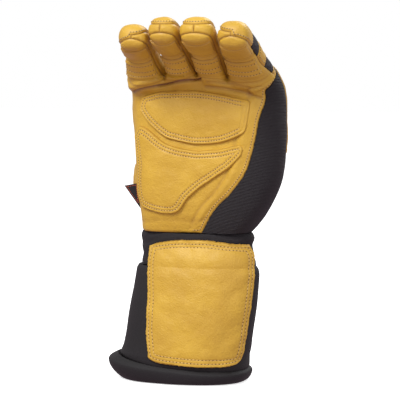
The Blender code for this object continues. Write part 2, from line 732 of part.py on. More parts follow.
def palm_pad(name, edges, tree, nu, nv):
    grid = coons(*edges, nu, nv)
    g3 = np.zeros(grid.shape[:2] + (3,))
    n3 = np.zeros_like(g3)
    for j in range(grid.shape[0]):
        for i in range(grid.shape[1]):
            start = Vector(on_hand(grid[j, i][0], -3.0, grid[j, i][1]))
            hit, normal, _i, _d = tree.ray_cast(start, Vector((0, 1, 0)))
            g3[j, i] = hit
            n3[j, i] = -normal if normal.y > 0 else normal
    soft = n3.copy()
    for _ in range(2):
        pad = np.pad(soft, ((1, 1), (1, 1), (0, 0)), mode="edge")
        soft = pad[1:-1, 1:-1] * 2 + pad[:-2, 1:-1] + pad[2:, 1:-1] + pad[1:-1, :-2] + pad[1:-1, 2:]
        soft /= np.linalg.norm(soft, axis=2)[:, :, None]
    laid_sheet(name, g3, soft, LAY_GAP + 0.1, LAY_GAP + 0.1 + PAD, GOLD, 0.5)


def mix(a, b, share):
    return a + (b - a) * share


def wrist_rows():
    """Wrist band sections in millimetres: z, centre x, half breadth, centre y, half depth."""
    rows = [[z * CUFF_HEIGHT, x * PALM_BREADTH, a * WRIST_BREADTH / 2, y * WRIST_DEPTH, b * WRIST_DEPTH / 2]
            for z, x, a, y, b in WRIST]
    rows[0][0] = CUFF_HEIGHT - SEAM_GAP
    rows[-1][0] = CUFF[0][0] * CUFF_HEIGHT + LAY_GAP
    return rows


def cuff_rows():
    """Cuff sections in millimetres, in the same columns."""
    side = WRIST_BREADTH / 2 + CUFF_STEP_SIDE
    front = WRIST_DEPTH / 2 + CUFF_STEP_FRONT
    return [[z * CUFF_HEIGHT, x * PALM_BREADTH, mix(side, CUFF_BREADTH / 2, a), y * WRIST_DEPTH,
             mix(front, CUFF_DEPTH / 2, b)] for z, x, a, y, b in CUFF]


def hem_line(angle):
    """Height of the line where the cuff ends and the hem begins."""
    left = 0.5 - 0.5 * math.cos(angle)
    return mix(HEM_RIGHT_TOP, HEM_LEFT_TOP, left ** 2)


def section_point(row, angle, inset=0.0):
    """Point of a rounded section; angle 270 degrees looks to the palm side."""
    z, cx, a, cy, b = row
    power = 2.0 / SECTION_POWER
    c, s = math.cos(angle), math.sin(angle)
    x = (a - inset) * math.copysign(abs(c) ** power, c)
    y = (b - inset) * math.copysign(abs(s) ** power, s)
    return (cx + x, cy + y, z)


def tube(name, rows, wall, colour):
    """A hollow sleeve through the given sections, top row first."""
    verts, faces = [], []
    n = len(rows)
    for inset in (0.0, wall):
        for row in rows:
            for k in range(ROUND):
                verts.append(section_point(row, 2 * math.pi * k / ROUND, inset))
    for wall_n in (0, 1):
        for j in range(n - 1):
            for k in range(ROUND):
                a = (wall_n * n + j) * ROUND + k
                b = (wall_n * n + j) * ROUND + (k + 1) % ROUND
                quad = (a, b, b + ROUND, a + ROUND)
                faces.append(quad if wall_n else quad[::-1])
    for j in (0, n - 1):
        for k in range(ROUND):
            a, b = j * ROUND + k, j * ROUND + (k + 1) % ROUND
            c, d = a + n * ROUND, b + n * ROUND
            faces.append((a, b, d, c) if j == 0 else (b, a, c, d))
    return place(name, verts, faces, colour, 0.75)


def section_at(rows, z):
    zs = [r[0] for r in rows][::-1]
    return [z] + [float(np.interp(z, zs, [r[k] for r in rows][::-1])) for k in (1, 2, 3, 4)]


def build_hem():
    """The swollen rolled hem; higher and fuller on the thumb side."""
    verts, faces = [], []
    n = len(HEM)
    sec = section_at(cuff_rows(), HEM_LEFT_TOP + HEM_SHIFT)
    for inner in (0, 1):
        for share, swell in HEM:
            for k in range(ROUND):
                ang = 2 * math.pi * k / ROUND
                left = 0.5 - 0.5 * math.cos(ang)
                side = abs(math.cos(ang)) ** 1.5
                top = hem_line(ang) - LAY_GAP
                full = HEM_FRONT_SWELL + (HEM_LEFT_SWELL * left + HEM_RIGHT_SWELL * (1 - left)
                                          - HEM_FRONT_SWELL) * side
                out = HEM_SWELL * swell * (full if swell > 0 else 1.0)
                z = top * share
                thin = HEM_THIN_END if share in (0.0, 1.0) else 0.0
                grow = out - (HEM_WALL * (1 - thin) if inner else 0.0)
                if inner:
                    grow = min(grow, -HEM_WALL + 0.5 * max(out, 0))
                x, y, _z = section_point([z, sec[1] - HEM_SHIFT, sec[2] + grow, sec[3], sec[4] + grow], ang)
                verts.append((x, y, z))
    for w in (0, 1):
        for j in range(n - 1):
            for k in range(ROUND):
                a = (w * n + j) * ROUND + k
                b = (w * n + j) * ROUND + (k + 1) % ROUND
                quad = (a, b, b + ROUND, a + ROUND)
                faces.append(quad[::-1] if w else quad)
    for j in (0, n - 1):
        for k in range(ROUND):
            a, b = j * ROUND + k, j * ROUND + (k + 1) % ROUND
            c, d = a + n * ROUND, b + n * ROUND
            faces.append((b, a, c, d) if j == 0 else (a, b, d, c))
    return place("hem", verts, faces, BLACK, 0.75)


def build_cuff():
    tube("wrist_band", wrist_rows(), BAND_WALL, BLACK)
    # the lower edge follows the tilted hem line
    rows = cuff_rows()
    verts, faces = [], []
    n = len(rows)
    for inset in (0.0, CUFF_WALL):
        for j, row in enumerate(rows):
            for k in range(ROUND):
                ang = 2 * math.pi * k / ROUND
                low = hem_line(ang)
                share = (row[0] - rows[-1][0]) / (rows[0][0] - rows[-1][0])
                z = low + (rows[0][0] - low) * share
                sec = section_at(rows, max(z, rows[-1][0]))
                verts.append(section_point([z] + sec[1:], ang, inset))
    for w in (0, 1):
        for j in range(n - 1):
            for k in range(ROUND):
                a = (w * n + j) * ROUND + k
                b = (w * n + j) * ROUND + (k + 1) % ROUND
                quad = (a, b, b + ROUND, a + ROUND)
                faces.append(quad if w else quad[::-1])
    for j in (0, n - 1):
        for k in range(ROUND):
            a, b = j * ROUND + k, j * ROUND + (k + 1) % ROUND
            c, d = a + n * ROUND, b + n * ROUND
            faces.append((a, b, d, c) if j == 0 else (b, a, c, d))
    place("cuff", verts, faces, BLACK, 0.75)


def build_patch():
    """Leather patch over wrist band and cuff on the palm side."""
    nu, nv = 12, 10
    cuff, wrist = cuff_rows(), wrist_rows()
    g3 = np.zeros((nv + 1, nu + 1, 3))
    for j in range(nv + 1):
        v = j / nv
        for i in range(nu + 1):
            u = i / nu
            ang = (1 - u) * table(PATCH_LEFT, v) + u * table(PATCH_RIGHT, v)
            foot = mix(PATCH_LEFT[0][1], PATCH_RIGHT[0][1], u)
            bottom = hem_line(math.radians(foot)) + CUFF_HEIGHT * table(PATCH_LOW, u)
            z = mix(bottom, CUFF_HEIGHT * table(PATCH_TOP, u), v)
            low = section_at(cuff, min(z, cuff[0][0]))
            if z > cuff[0][0]:
                over = section_at(wrist, z)
                blend = min(1.0, (z - cuff[0][0]) / (PATCH_BLEND * CUFF_HEIGHT))
                blend = blend * blend * (3 - 2 * blend)
                low = [z] + [low[k] * (1 - blend) + over[k] * blend for k in (1, 2, 3, 4)]
            g3[j, i] = section_point(low, math.radians(ang))
    du = np.gradient(g3, axis=1)
    dv = np.gradient(g3, axis=0)
    nrm = np.cross(du, dv)
    nrm /= np.linalg.norm(nrm, axis=2)[:, :, None]
    laid_sheet("cuff_patch", g3, nrm, LAY_GAP + 0.35, LAY_GAP + 0.35 + LEATHER, GOLD, 0.3)


def build_tag(tree):
    """The small folded tag, its sewn edge just clear of the leather."""
    verts = []
    for side in (-0.5, 0.5):
        edge = []
        for share in TAG_EDGE:
            x, y, z = on_hand(-1.0, TAG_Y, share)
            y += side * TAG_THICK
            hit = tree.ray_cast(Vector((x, y, z)), Vector((1, 0, 0)))[0]
            edge.append((hit.x - SEAM_GAP, y, z))
        _x, _y, z = on_hand(0.0, TAG_Y, TAG_CORNER)
        verts += [(edge[0][0] - TAG_REACH, y, z)] + edge
    faces = [(0, 1, 2), (5, 4, 3), (1, 0, 3, 4), (2, 1, 4, 5), (0, 2, 5, 3)]
    place("size_tag", verts, faces, BLACK, 0.8)


skin_tree = build_hand()
palm_pad("upper_palm_pad", UPPER_PAD, skin_tree, 14, 6)
palm_pad("heel_pad", HEEL_PAD, skin_tree, 16, 8)
build_cuff()
build_hem()
build_patch()
build_tag(skin_tree)
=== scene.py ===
"""Long-cuff lineman work glove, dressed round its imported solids.

The skin of the hand is smoothed from the same coarse cage as the solids and cut along the
same seams, but finely enough for creases, rolled edges and rows of stitches.
"""
import bpy
import math
import numpy as np
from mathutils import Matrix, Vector, noise
from mathutils.bvhtree import BVHTree
from mathutils.kdtree import KDTree


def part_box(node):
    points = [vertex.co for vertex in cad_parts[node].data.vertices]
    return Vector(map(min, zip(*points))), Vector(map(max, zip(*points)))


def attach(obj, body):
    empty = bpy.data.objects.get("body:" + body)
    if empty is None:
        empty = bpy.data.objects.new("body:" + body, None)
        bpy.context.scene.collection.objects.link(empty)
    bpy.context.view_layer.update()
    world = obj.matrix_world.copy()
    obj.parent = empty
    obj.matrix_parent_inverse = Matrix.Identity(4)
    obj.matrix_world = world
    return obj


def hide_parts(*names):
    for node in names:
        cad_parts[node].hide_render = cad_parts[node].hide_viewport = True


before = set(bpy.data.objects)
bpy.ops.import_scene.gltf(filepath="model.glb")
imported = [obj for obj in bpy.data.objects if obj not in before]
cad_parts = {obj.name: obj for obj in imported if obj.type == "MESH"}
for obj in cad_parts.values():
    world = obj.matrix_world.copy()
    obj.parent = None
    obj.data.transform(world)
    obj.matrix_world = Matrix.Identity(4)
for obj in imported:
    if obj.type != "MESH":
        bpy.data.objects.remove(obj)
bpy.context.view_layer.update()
MM = 0.001

# Main sizes, millimetres
CUFF_HEIGHT = 98.5
HAND_HEIGHT = 104.0
PALM_BREADTH = 104.0
PALM_DEPTH = 40.0
FINGER_LENGTH = 61.0
FINGER_THICK = 18.5
THUMB_LENGTH = 60.0
THUMB_WIDTH = 21.0
WRIST_BREADTH = 74.8
WRIST_DEPTH = 34.8
CUFF_BREADTH = 88.0
CUFF_DEPTH = 59.6
CUFF_STEP_SIDE = 3.2
CUFF_STEP_FRONT = 3.8
HEM_LEFT_TOP = 17.0
HEM_RIGHT_TOP = 9.0
HEM_SWELL = 4.0
HEM_SHIFT = 1.2
TAG_REACH = 9.2

# Thicknesses and clearances, millimetres
LEATHER = 1.5
FABRIC = 1.4
PAD = 1.5
BAND_WALL = 2.4
CUFF_WALL = 3.0
HEM_WALL = 4.4
SEAM_GAP = 0.34
LAY_GAP = 0.45
WALL_BEND = 0.7

# In the tables of the hand, heights are shares of HAND_HEIGHT above the wrist seam,
# lengths across are shares of PALM_BREADTH and depths are shares of PALM_DEPTH.

# Sections of the hand from the wrist to the knuckle fold; the first takes its breadth
# and depth from the wrist: palm z, back z, centre x, half breadth, palm depth, back depth
HAND = (
    (0.0, 0.0, 0.077, 0.36, 0.45, 0.425),
    (0.10, 0.10, 0.115, 0.406, 0.50, 0.45),
    (0.22, 0.23, 0.142, 0.454, 0.525, 0.46),
    (0.35, 0.37, 0.16, 0.483, 0.525, 0.475),
    (0.485, 0.525, 0.163, 0.494, 0.51, 0.475),
    (0.62, 0.675, 0.163, 0.502, 0.50, 0.47),
    (0.745, 0.82, 0.156, 0.506, 0.485, 0.425),
    (0.855, 0.965, 0.148, 0.50, 0.45, 0.24),
)
KNUCKLE_ARCH = 0.029
# Section outline, left to right: breadth share, palm depth share, back depth share
SECTION = (
    (-0.92, 0.60, 0.60),
    (-0.76, 0.90, 0.90),
    (-0.46, 1.00, 1.00),
    (-0.20, 0.97, 1.03),
    (0.04, 0.94, 1.04),
    (0.28, 0.97, 1.03),
    (0.52, 1.00, 1.00),
    (0.78, 0.90, 0.90),
    (0.93, 0.60, 0.60),
)
# Root of the fingers, left to right: x, palm y, palm z, back y, back z
ROOT = (
    (-0.327, -0.425, 0.923, -0.10, 1.043),
    (-0.207, -0.61, 0.894, -0.06, 1.096),
    (-0.075, -0.50, 0.938, -0.175, 1.067),
    (0.029, -0.638, 0.933, -0.05, 1.115),
    (0.133, -0.513, 0.966, -0.175, 1.087),
    (0.231, -0.638, 0.947, -0.05, 1.115),
    (0.33, -0.50, 0.938, -0.175, 1.067),
    (0.457, -0.613, 0.913, -0.075, 1.096),
    (0.582, -0.425, 0.938, -0.10, 1.053),
)
ROOT_LEFT = (-0.348, -0.263, 0.986)
ROOT_RIGHT = (0.612, -0.25, 1.005)
# Bottom of the gaps between fingers: x, y, z
WEB = ((-0.073, -0.325, 0.981), (0.133, -0.338, 1.01), (0.332, -0.325, 0.981))

# Fingers from the thumb side outwards, five rings each: start y, start z, then rows of
# step (share of FINGER_LENGTH), rise in degrees, centre x, width, thickness (share of
# FINGER_THICK)
FINGERS = (
    (-0.35, 1.0, (
        (0.197, 38.0, -0.202, 0.221, 1.054),
        (0.197, 34.0, -0.187, 0.20, 1.005),
        (0.197, 24.0, -0.169, 0.196, 0.984),
        (0.197, 16.0, -0.148, 0.194, 0.973),
        (0.148, 6.0, -0.131, 0.171, 0.822),
    )),
    (-0.35, 1.014, (
        (0.213, 38.0, 0.038, 0.181, 1.054),
        (0.213, 34.0, 0.04, 0.177, 1.016),
        (0.213, 24.0, 0.042, 0.185, 0.995),
        (0.213, 20.0, 0.052, 0.19, 0.984),
        (0.148, 12.0, 0.062, 0.171, 0.832),
    )),
    (-0.35, 1.014, (
        (0.213, 38.0, 0.236, 0.187, 1.054),
        (0.213, 34.0, 0.243, 0.19, 1.027),
        (0.213, 24.0, 0.251, 0.20, 1.005),
        (0.213, 20.0, 0.265, 0.215, 1.005),
        (0.148, 12.0, 0.274, 0.192, 0.854),
    )),
    (-0.35, 1.01, (
        (0.197, 38.0, 0.464, 0.244, 1.092),
        (0.197, 34.0, 0.464, 0.227, 1.059),
        (0.197, 24.0, 0.471, 0.213, 1.027),
        (0.197, 18.0, 0.485, 0.20, 0.995),
        (0.148, 8.0, 0.496, 0.179, 0.843),
    )),
)
FINGER_TIP = 0.079
# Ring of a finger: breadth share, thickness share (palm side negative), seam coordinate
FINGER_RING = (
    (-0.78, -0.76, 0.80), (0.0, -1.0, 1.0), (0.78, -0.76, 0.80), (1.0, 0.0, 0.0),
    (0.76, 0.78, -0.80), (0.0, 1.0, -1.0), (-0.76, 0.78, -0.80), (-1.0, 0.0, 0.0),
)
# Thumb: place of its first ring on the hand, then rings of: x, y, z from the first ring
# (shares of THUMB_LENGTH), direction x, y, z, width, thickness (shares of THUMB_WIDTH)
THUMB_ROOT = (-0.308, 0.388, 0.274)
THUMB = (
    (0.0, 0.0, 0.0, -0.55, 0.75, 0.36, 0.976, 1.048),
    (-0.042, 0.175, 0.117, -0.20, 0.80, 0.56, 1.0, 1.024),
    (-0.033, 0.333, 0.30, 0.0, 0.62, 0.78, 1.0, 0.976),
    (-0.033, 0.45, 0.508, 0.0, 0.50, 0.87, 0.976, 0.905),
    (-0.033, 0.542, 0.692, 0.0, 0.42, 0.90, 0.762, 0.69),
)
THUMB_TIP = 0.1
THUMB_ROWS = (1, 3)
THUMB_RING = (
    (0.75, -0.75), (1.0, 0.0), (0.75, 0.75), (0.0, 1.0),
    (-0.75, 0.75), (-1.0, 0.0), (-0.75, -0.75), (0.0, -1.0),
)

# Border between palm leather and side gusset: height, place round the hand
# (0 is the middle of the palm, 1 its right corner, 1.5 the right side, 2 the back corner)
S_BORDER = (
    (0.0, 0.22), (0.072, 0.235), (0.137, 0.27), (0.189, 0.335), (0.24, 0.43),
    (0.298, 0.50), (0.355, 0.565), (0.409, 0.61), (0.466, 0.64), (0.527, 0.665),
    (0.591, 0.69), (0.649, 0.71), (0.713, 0.735), (0.774, 0.775), (0.837, 0.84),
    (0.899, 0.94), (0.947, 1.12), (1.01, 1.52),
)
GUSSET_BACK = 1.64
# Lower border of the knuckle guard on the back: place across, height
GUARD_BORDER = ((-1.0, 0.62), (-0.6, 0.687), (0.0, 0.726), (0.5, 0.668), (0.8, 0.572), (1.0, 0.476))
WELT_HALF = 0.46
# Seam on the outer side of the first and last finger, towards the palm
OUTER_SEAM = 0.42
# Ring heights along a finger where the back changes piece
BACK_STEPS = (0.15, 0.85, 2.0, 3.2)
# Pads on the palm side of the fingers: first and last place along the finger
FINGER_PAD = (0.75, 2.15)
TIP_PAD = (2.75, 4.35)
PAD_HALF = 0.62

# Palm pads, seen from the palm side: x and z along each edge, left to right or low to high
UPPER_PAD = (
    ((-0.232, 0.857), (-0.119, 0.886), (0.0, 0.893), (0.115, 0.895), (0.212, 0.886),
     (0.308, 0.87), (0.396, 0.849), (0.481, 0.841)),
    ((-0.219, 0.724), (-0.173, 0.675), (-0.107, 0.622), (-0.061, 0.593), (0.025, 0.572),
     (0.115, 0.555), (0.221, 0.559), (0.298, 0.57), (0.375, 0.595), (0.456, 0.63)),
    ((-0.219, 0.724), (-0.246, 0.764), (-0.242, 0.812), (-0.232, 0.857)),
    ((0.456, 0.63), (0.469, 0.707), (0.477, 0.774), (0.481, 0.841)),
)
HEEL_PAD = (
    ((-0.253, 0.687), (-0.206, 0.664), (-0.16, 0.63), (-0.107, 0.588), (-0.061, 0.559),
     (0.012, 0.536), (0.135, 0.518), (0.287, 0.53), (0.429, 0.568)),
    ((-0.242, 0.149), (-0.174, 0.136), (-0.108, 0.124), (-0.041, 0.119), (0.005, 0.126),
     (0.032, 0.148), (0.078, 0.22), (0.156, 0.286), (0.231, 0.334), (0.351, 0.412),
     (0.409, 0.466)),
    ((-0.242, 0.149), (-0.26, 0.262), (-0.262, 0.421), (-0.271, 0.514), (-0.285, 0.611),
     (-0.253, 0.687)),
    ((0.409, 0.466), (0.433, 0.499), (0.44, 0.53), (0.429, 0.568)),
)

# Wrist band sections from the wrist seam down: height (share of CUFF_HEIGHT), centre x
# (share of PALM_BREADTH), breadth (share of WRIST_BREADTH), centre y and depth (shares of
# WRIST_DEPTH). Its two ends stop a gap short of the hand and of the cuff.
WRIST = (
    (1.0, 0.077, 1.0, -0.014, 1.0),
    (0.954, 0.08, 1.032, -0.017, 1.03),
    (0.904, 0.077, 1.005, -0.017, 1.057),
    (0.848, 0.085, 1.016, -0.023, 1.103),
    (0.776, 0.088, 1.037, -0.029, 1.149),
)
# Cuff sections, in the same shares, but its breadth and depth run from those of the
# wrist with its step, at 0, to those of the open end, at 1
CUFF = (
    (0.772, 0.077, 0.0, -0.029, 0.0),
    (0.718, 0.077, 0.29, -0.029, 0.16),
    (0.63, 0.067, 0.41, -0.034, 0.33),
    (0.528, 0.053, 0.59, -0.04, 0.465),
    (0.426, 0.038, 0.65, -0.04, 0.63),
    (0.315, 0.023, 0.65, -0.034, 0.79),
    (0.223, 0.008, 0.82, -0.023, 0.93),
    (0.176, -0.008, 1.0, -0.011, 1.0),
)
SECTION_POWER = 2.25
# Rolled hem: share of its height, share of HEM_SWELL
HEM = ((0.0, -0.65), (0.06, -0.2), (0.28, 0.5), (0.55, 0.95), (0.78, 1.0), (0.93, 0.475), (1.0, 0.05))
HEM_LEFT_SWELL = 1.7
HEM_RIGHT_SWELL = 0.55
HEM_FRONT_SWELL = 0.45

# Cuff patch: place round the cuff in degrees (270 is the middle of the palm side), heights
# as shares of CUFF_HEIGHT; the lower edge's are above the line where the hem begins
PATCH_TOP = (
    (0.0, 0.91), (0.12, 0.932), (0.3, 0.954), (0.5, 0.958), (0.7, 0.938), (0.85, 0.93), (1.0, 0.934),
)
PATCH_LOW = ((0.0, 0.026), (0.1, 0.023), (0.35, 0.025), (0.7, 0.03), (0.9, 0.041), (1.0, 0.056))
PATCH_LEFT = ((0.0, 252.0), (0.25, 243.5), (0.5, 239.0), (0.75, 232.0), (1.0, 225.0))
PATCH_RIGHT = ((0.0, 341.0), (0.25, 343.0), (0.5, 343.5), (0.75, 346.0), (0.9, 351.0), (1.0, 346.0))
PATCH_BLEND = 0.142
# How far corners are rounded, as shares: the palm pads' and the cuff patch's
PAD_CORNERS = (0.05, 0.05)
PATCH_CORNERS = (0.045, 0.018)

# Size tag: height of its free corner, heights of its sewn edge, and its plane
TAG_CORNER = 0.28
TAG_EDGE = (0.297, 0.136)
TAG_Y = -0.175

# Rows of stitches, millimetres inside the edge of what they hold
PIECE_ROW = 1.7
BORDER_ROW = 2.1
UPPER_ROWS = (2.2, 4.4)
HEEL_ROWS = (2.4, 4.6)
PATCH_ROWS = (2.6, 5.2)
TAG_ROW = 1.0
# The rows of stitches on the palm pads stop at these x
UPPER_ROWS_END = 42.5
HEEL_ROWS_END = 99.0
# Rows across a finger pad: two from its low end and one from its high end, in rings
PAD_LOW_ROWS = (0.17, 0.52)
PAD_HIGH_ROW = 0.3

# At a seam, in millimetres: how far a rim is drawn in, then heights and their reaches
SEAM_DRAW = 0.16
CLOTH_SWELL, CLOTH_REACH = 0.25, 3.0
LEATHER_SWELL, LEATHER_REACH = 0.30, 3.5
EDGE_DROP, EDGE_REACH = 0.75, 0.8
LEAST_WALL = 0.25

P, C, S, M, Q = 3, 4, 5, 6, 7
PALM, THUMB_TAG = 0, 5


def on_hand(x, y, z):
    """A place on the hand, from its shares across, in depth and in height."""
    return x * PALM_BREADTH, y * PALM_DEPTH, CUFF_HEIGHT + z * HAND_HEIGHT


def share_up(z):
    """Height above the wrist seam as a share of the hand."""
    return (z - CUFF_HEIGHT) / HAND_HEIGHT


def hand_cage():
    """Vertices (x, y, z, seam p, round c, along s, welt m, across q), quads and their tags."""
    verts, quads, tags = [], [], []

    def add(x, y, z, p, c, s, m=0.0, q=0.0):
        verts.append((x, y, z, p, c, s, m, q))
        return len(verts) - 1

    def corner(j):
        return 0.80 if j in (0, 8) else 1.0

    rings = []
    for k, (zf, zb, cx, a, front, back) in enumerate(HAND):
        a, front, zf = on_hand(a, front, zf)
        cx, back, zb = on_hand(cx, back, zb)
        if k == 0:
            a = WRIST_BREADTH / 2
            front = WRIST_DEPTH * (0.5 - WRIST[0][3])
            back = WRIST_DEPTH * (0.5 + WRIST[0][3])
        s = k - len(HAND)
        ring = {}
        for j, (kx, kf, kb) in enumerate(SECTION):
            lift = KNUCKLE_ARCH * HAND_HEIGHT * (1 - kx * kx) * (k / (len(HAND) - 1.0)) ** 4
            c = 1.0 if j == 8 else kx
            ring["F%d" % j] = add(cx + a * kx, -front * kf, zf + lift, corner(j), c, s, 0, kx)
            ring["B%d" % j] = add(cx + a * kx, back * kb, zb, -corner(j), 3.0 - c, s, 0, kx)
        mid = 0.5 * (zf + zb)
        off = 0.5 * (back - front) * 0.3
        ring["R"] = add(cx + a, off, mid, 0.0, 1.5, s, 0, 1.0)
        ring["L"] = add(cx - a, off, mid, 0.0, -1.5, s, 0, -1.0)
        rings.append(ring)
    top = {}
    for j, (x, yf, zf, yb, zb) in enumerate(ROOT):
        x, yf, zf = on_hand(x, yf, zf)
        _x, yb, zb = on_hand(x, yb, zb)
        side = j in (0, 2, 4, 6, 8)
        p = 0.80 if side else 1.0
        kx = SECTION[j][0]
        c = 1.0 if j == 8 else kx
        top["F%d" % j] = add(x, yf, zf, p, c, 0.0, 0, kx)
        top["B%d" % j] = add(x, yb, zb, -p, 3.0 - c, 0.0, 0, kx)
    top["R"] = add(*on_hand(*ROOT_RIGHT), 0.0, 1.5, 0.0, 0, 1.0)
    top["L"] = add(*on_hand(*ROOT_LEFT), 0.0, -1.5, 0.0, 0, -1.0)
    web = [add(*on_hand(*w), 0.0, 0.0, 0.0, WELT_HALF, 0.0) for w in WEB]
    rings.append(top)

    order = ["F%d" % j for j in range(9)] + ["R"] + ["B%d" % j for j in range(8, -1, -1)] + ["L"]
    lo, hi = THUMB_ROWS
    for k in range(len(rings) - 1):
        for n in range(20):
            a, b = order[n], order[(n + 1) % 20]
            if lo <= k < hi and "B0" in (a, b):
                continue
            quads.append((rings[k][a], rings[k][b], rings[k + 1][b], rings[k + 1][a]))
            half = 1 if n in (4, 5, 6, 7, 8, 9, 10, 11, 12, 13) else 0
            tags.append((PALM, half))

    for i, (y, z, rows) in enumerate(FINGERS):
        left = top["L"] if i == 0 else web[i - 1]
        right = top["R"] if i == 3 else web[i]
        ring = [top["F%d" % (2 * i)], top["F%d" % (2 * i + 1)], top["F%d" % (2 * i + 2)], right,
                top["B%d" % (2 * i + 2)], top["B%d" % (2 * i + 1)], top["B%d" % (2 * i)], left]
        x_last, y, z = on_hand(0.0, y, z)
        for k, (step, rise, x, width, thick) in enumerate(rows):
            step, x, width = step * FINGER_LENGTH, x * PALM_BREADTH, width * PALM_BREADTH
            thick = thick * FINGER_THICK
            ang = math.radians(rise)
            y -= step * math.cos(ang)
            z += step * math.sin(ang)
            nxt = rows[min(k + 1, len(rows) - 1)][1]
            tilt = math.radians(0.5 * (rise + nxt))
            up = (math.sin(tilt), math.cos(tilt))
            new = []
            for j, (bx, bt, p) in enumerate(FINGER_RING):
                inner = (i > 0 and j in (6, 7, 0)) or (i < 3 and j in (2, 3, 4))
                seam = 0.0 if j in (1, 5) else WELT_HALF if inner else OUTER_SEAM
                h = bt * thick / 2
                new.append(add(x + bx * width / 2, y + up[0] * h, z + up[1] * h, p, 0.0,
                               k + 1.0, seam, 0.0))
            for j in range(8):
                quads.append((ring[j], ring[(j + 1) % 8], new[(j + 1) % 8], new[j]))
                tags.append((i + 1, 1 if j in (1, 2, 3, 4) else 0))
            ring = new
            x_last = x
        ang = math.radians(rows[-1][1])
        end = FINGER_TIP * FINGER_LENGTH
        tip = add(x_last, y - end * math.cos(ang), z + end * math.sin(ang), 0.0, 0.0,
                  len(rows) + 0.6, WELT_HALF if i in (1, 2) else 0.0, 0.0)
        for four, half in (((7, 0, 1), 0), ((1, 2, 3), 1), ((3, 4, 5), 1), ((5, 6, 7), 0)):
            quads.append((ring[four[0]], ring[four[1]], ring[four[2]], tip))
            tags.append((i + 1, half))

    r0, r1, r2 = rings[lo], rings[lo + 1], rings[hi]
    ring = [r0["L"], r1["L"], r2["L"], r2["B0"], r2["B1"], r1["B1"], r0["B1"], r0["B0"]]
    root = Vector(on_hand(*THUMB_ROOT))
    for k, (x, y, z, dx, dy, dz, width, thick) in enumerate(THUMB):
        centre = root + Vector((x, y, z)) * THUMB_LENGTH
        width, thick = width * THUMB_WIDTH, thick * THUMB_WIDTH
        d = Vector((dx, dy, dz)).normalized()
        e2 = (Vector((0, 0, 1)) - d * d.z).normalized()
        e1 = e2.cross(d)
        new = []
        for u, v in THUMB_RING:
            pt = centre + e1 * (u * width / 2) + e2 * (v * thick / 2)
            new.append(add(pt.x, pt.y, pt.z, u, 0.0, k + 1.0, 0, -1.0))
        for j in range(8):
            quads.append((ring[j], ring[(j + 1) % 8], new[(j + 1) % 8], new[j]))
            tags.append((THUMB_TAG, 0))
        ring = new
    pt = centre + d * (THUMB_TIP * THUMB_LENGTH)
    tip = add(pt.x, pt.y, pt.z, 0.0, 0.0, len(THUMB) + 0.6, 0, -1.0)
    for four in ((7, 0, 1), (1, 2, 3), (3, 4, 5), (5, 6, 7)):
        quads.append((ring[four[0]], ring[four[1]], ring[four[2]], tip))
        tags.append((THUMB_TAG, 0))
    used = sorted({v for q in quads for v in q})
    remap = {v: n for n, v in enumerate(used)}
    return (np.array([verts[v] for v in used], float),
            [tuple(remap[v] for v in q) for q in quads], tags)


def smooth_once(pts, faces):
    """One Catmull-Clark step; the first points of the result are the moved input points."""
    n = len(pts)
    centre = np.array([pts[list(f)].mean(axis=0) for f in faces])
    edge_faces = {}
    for k, f in enumerate(faces):
        for a, b in zip(f, f[1:] + f[:1]):
            edge_faces.setdefault((min(a, b), max(a, b)), []).append(k)
    edge_at = {e: n + k for k, e in enumerate(edge_faces)}
    edge_pts = np.zeros((len(edge_at), pts.shape[1]))
    f_sum = np.zeros_like(pts)
    f_num = np.zeros(n)
    e_sum = np.zeros_like(pts)
    e_num = np.zeros(n)
    rim_sum = np.zeros_like(pts)
    rim_num = np.zeros(n)
    for k, f in enumerate(faces):
        for v in f:
            f_sum[v] += centre[k]
            f_num[v] += 1
    for (a, b), fs in edge_faces.items():
        mid = 0.5 * (pts[a] + pts[b])
        row = edge_at[(a, b)] - n
        if len(fs) == 2:
            edge_pts[row] = 0.25 * (pts[a] + pts[b] + centre[fs[0]] + centre[fs[1]])
        else:
            edge_pts[row] = mid
            for v in (a, b):
                rim_sum[v] += mid
                rim_num[v] += 1
        for v in (a, b):
            e_sum[v] += mid
            e_num[v] += 1
    moved = pts.copy()
    for v in range(n):
        if rim_num[v]:
            moved[v] = 0.5 * pts[v] + 0.5 * rim_sum[v] / rim_num[v]
        elif f_num[v]:
            k = f_num[v]
            moved[v] = (f_sum[v] / k + 2 * e_sum[v] / e_num[v] + (k - 3) * pts[v]) / k
    base = n + len(edge_at)
    out = []
    for k, f in enumerate(faces):
        for j, v in enumerate(f):
            nxt, prv = f[(j + 1) % len(f)], f[j - 1]
            out.append((v, edge_at[(min(v, nxt), max(v, nxt))], base + k,
                        edge_at[(min(v, prv), max(v, prv))]))
    return np.vstack([moved, edge_pts, centre]), out


def smoothed_hand(level):
    """The smoothed hand skin, its cage adjusted so that the tables give real surface sizes."""
    pts, faces, tags = hand_cage()
    want = pts[:, :3].copy()
    for _ in range(5):
        moved, _f = smooth_once(pts, faces)
        pts[:, :3] += 0.85 * (want - moved[:len(pts), :3])
    for _ in range(level):
        pts, faces = smooth_once(pts, faces)
        tags = [t for t in tags for _k in range(4)]
    return pts, faces, tags


def mix(a, b, share):
    return a + (b - a) * share


def wrist_rows():
    """Wrist band sections in millimetres: z, centre x, half breadth, centre y, half depth."""
    rows = [[z * CUFF_HEIGHT, x * PALM_BREADTH, a * WRIST_BREADTH / 2, y * WRIST_DEPTH,
             b * WRIST_DEPTH / 2] for z, x, a, y, b in WRIST]
    rows[0][0] = CUFF_HEIGHT - SEAM_GAP
    rows[-1][0] = CUFF[0][0] * CUFF_HEIGHT + LAY_GAP
    return rows


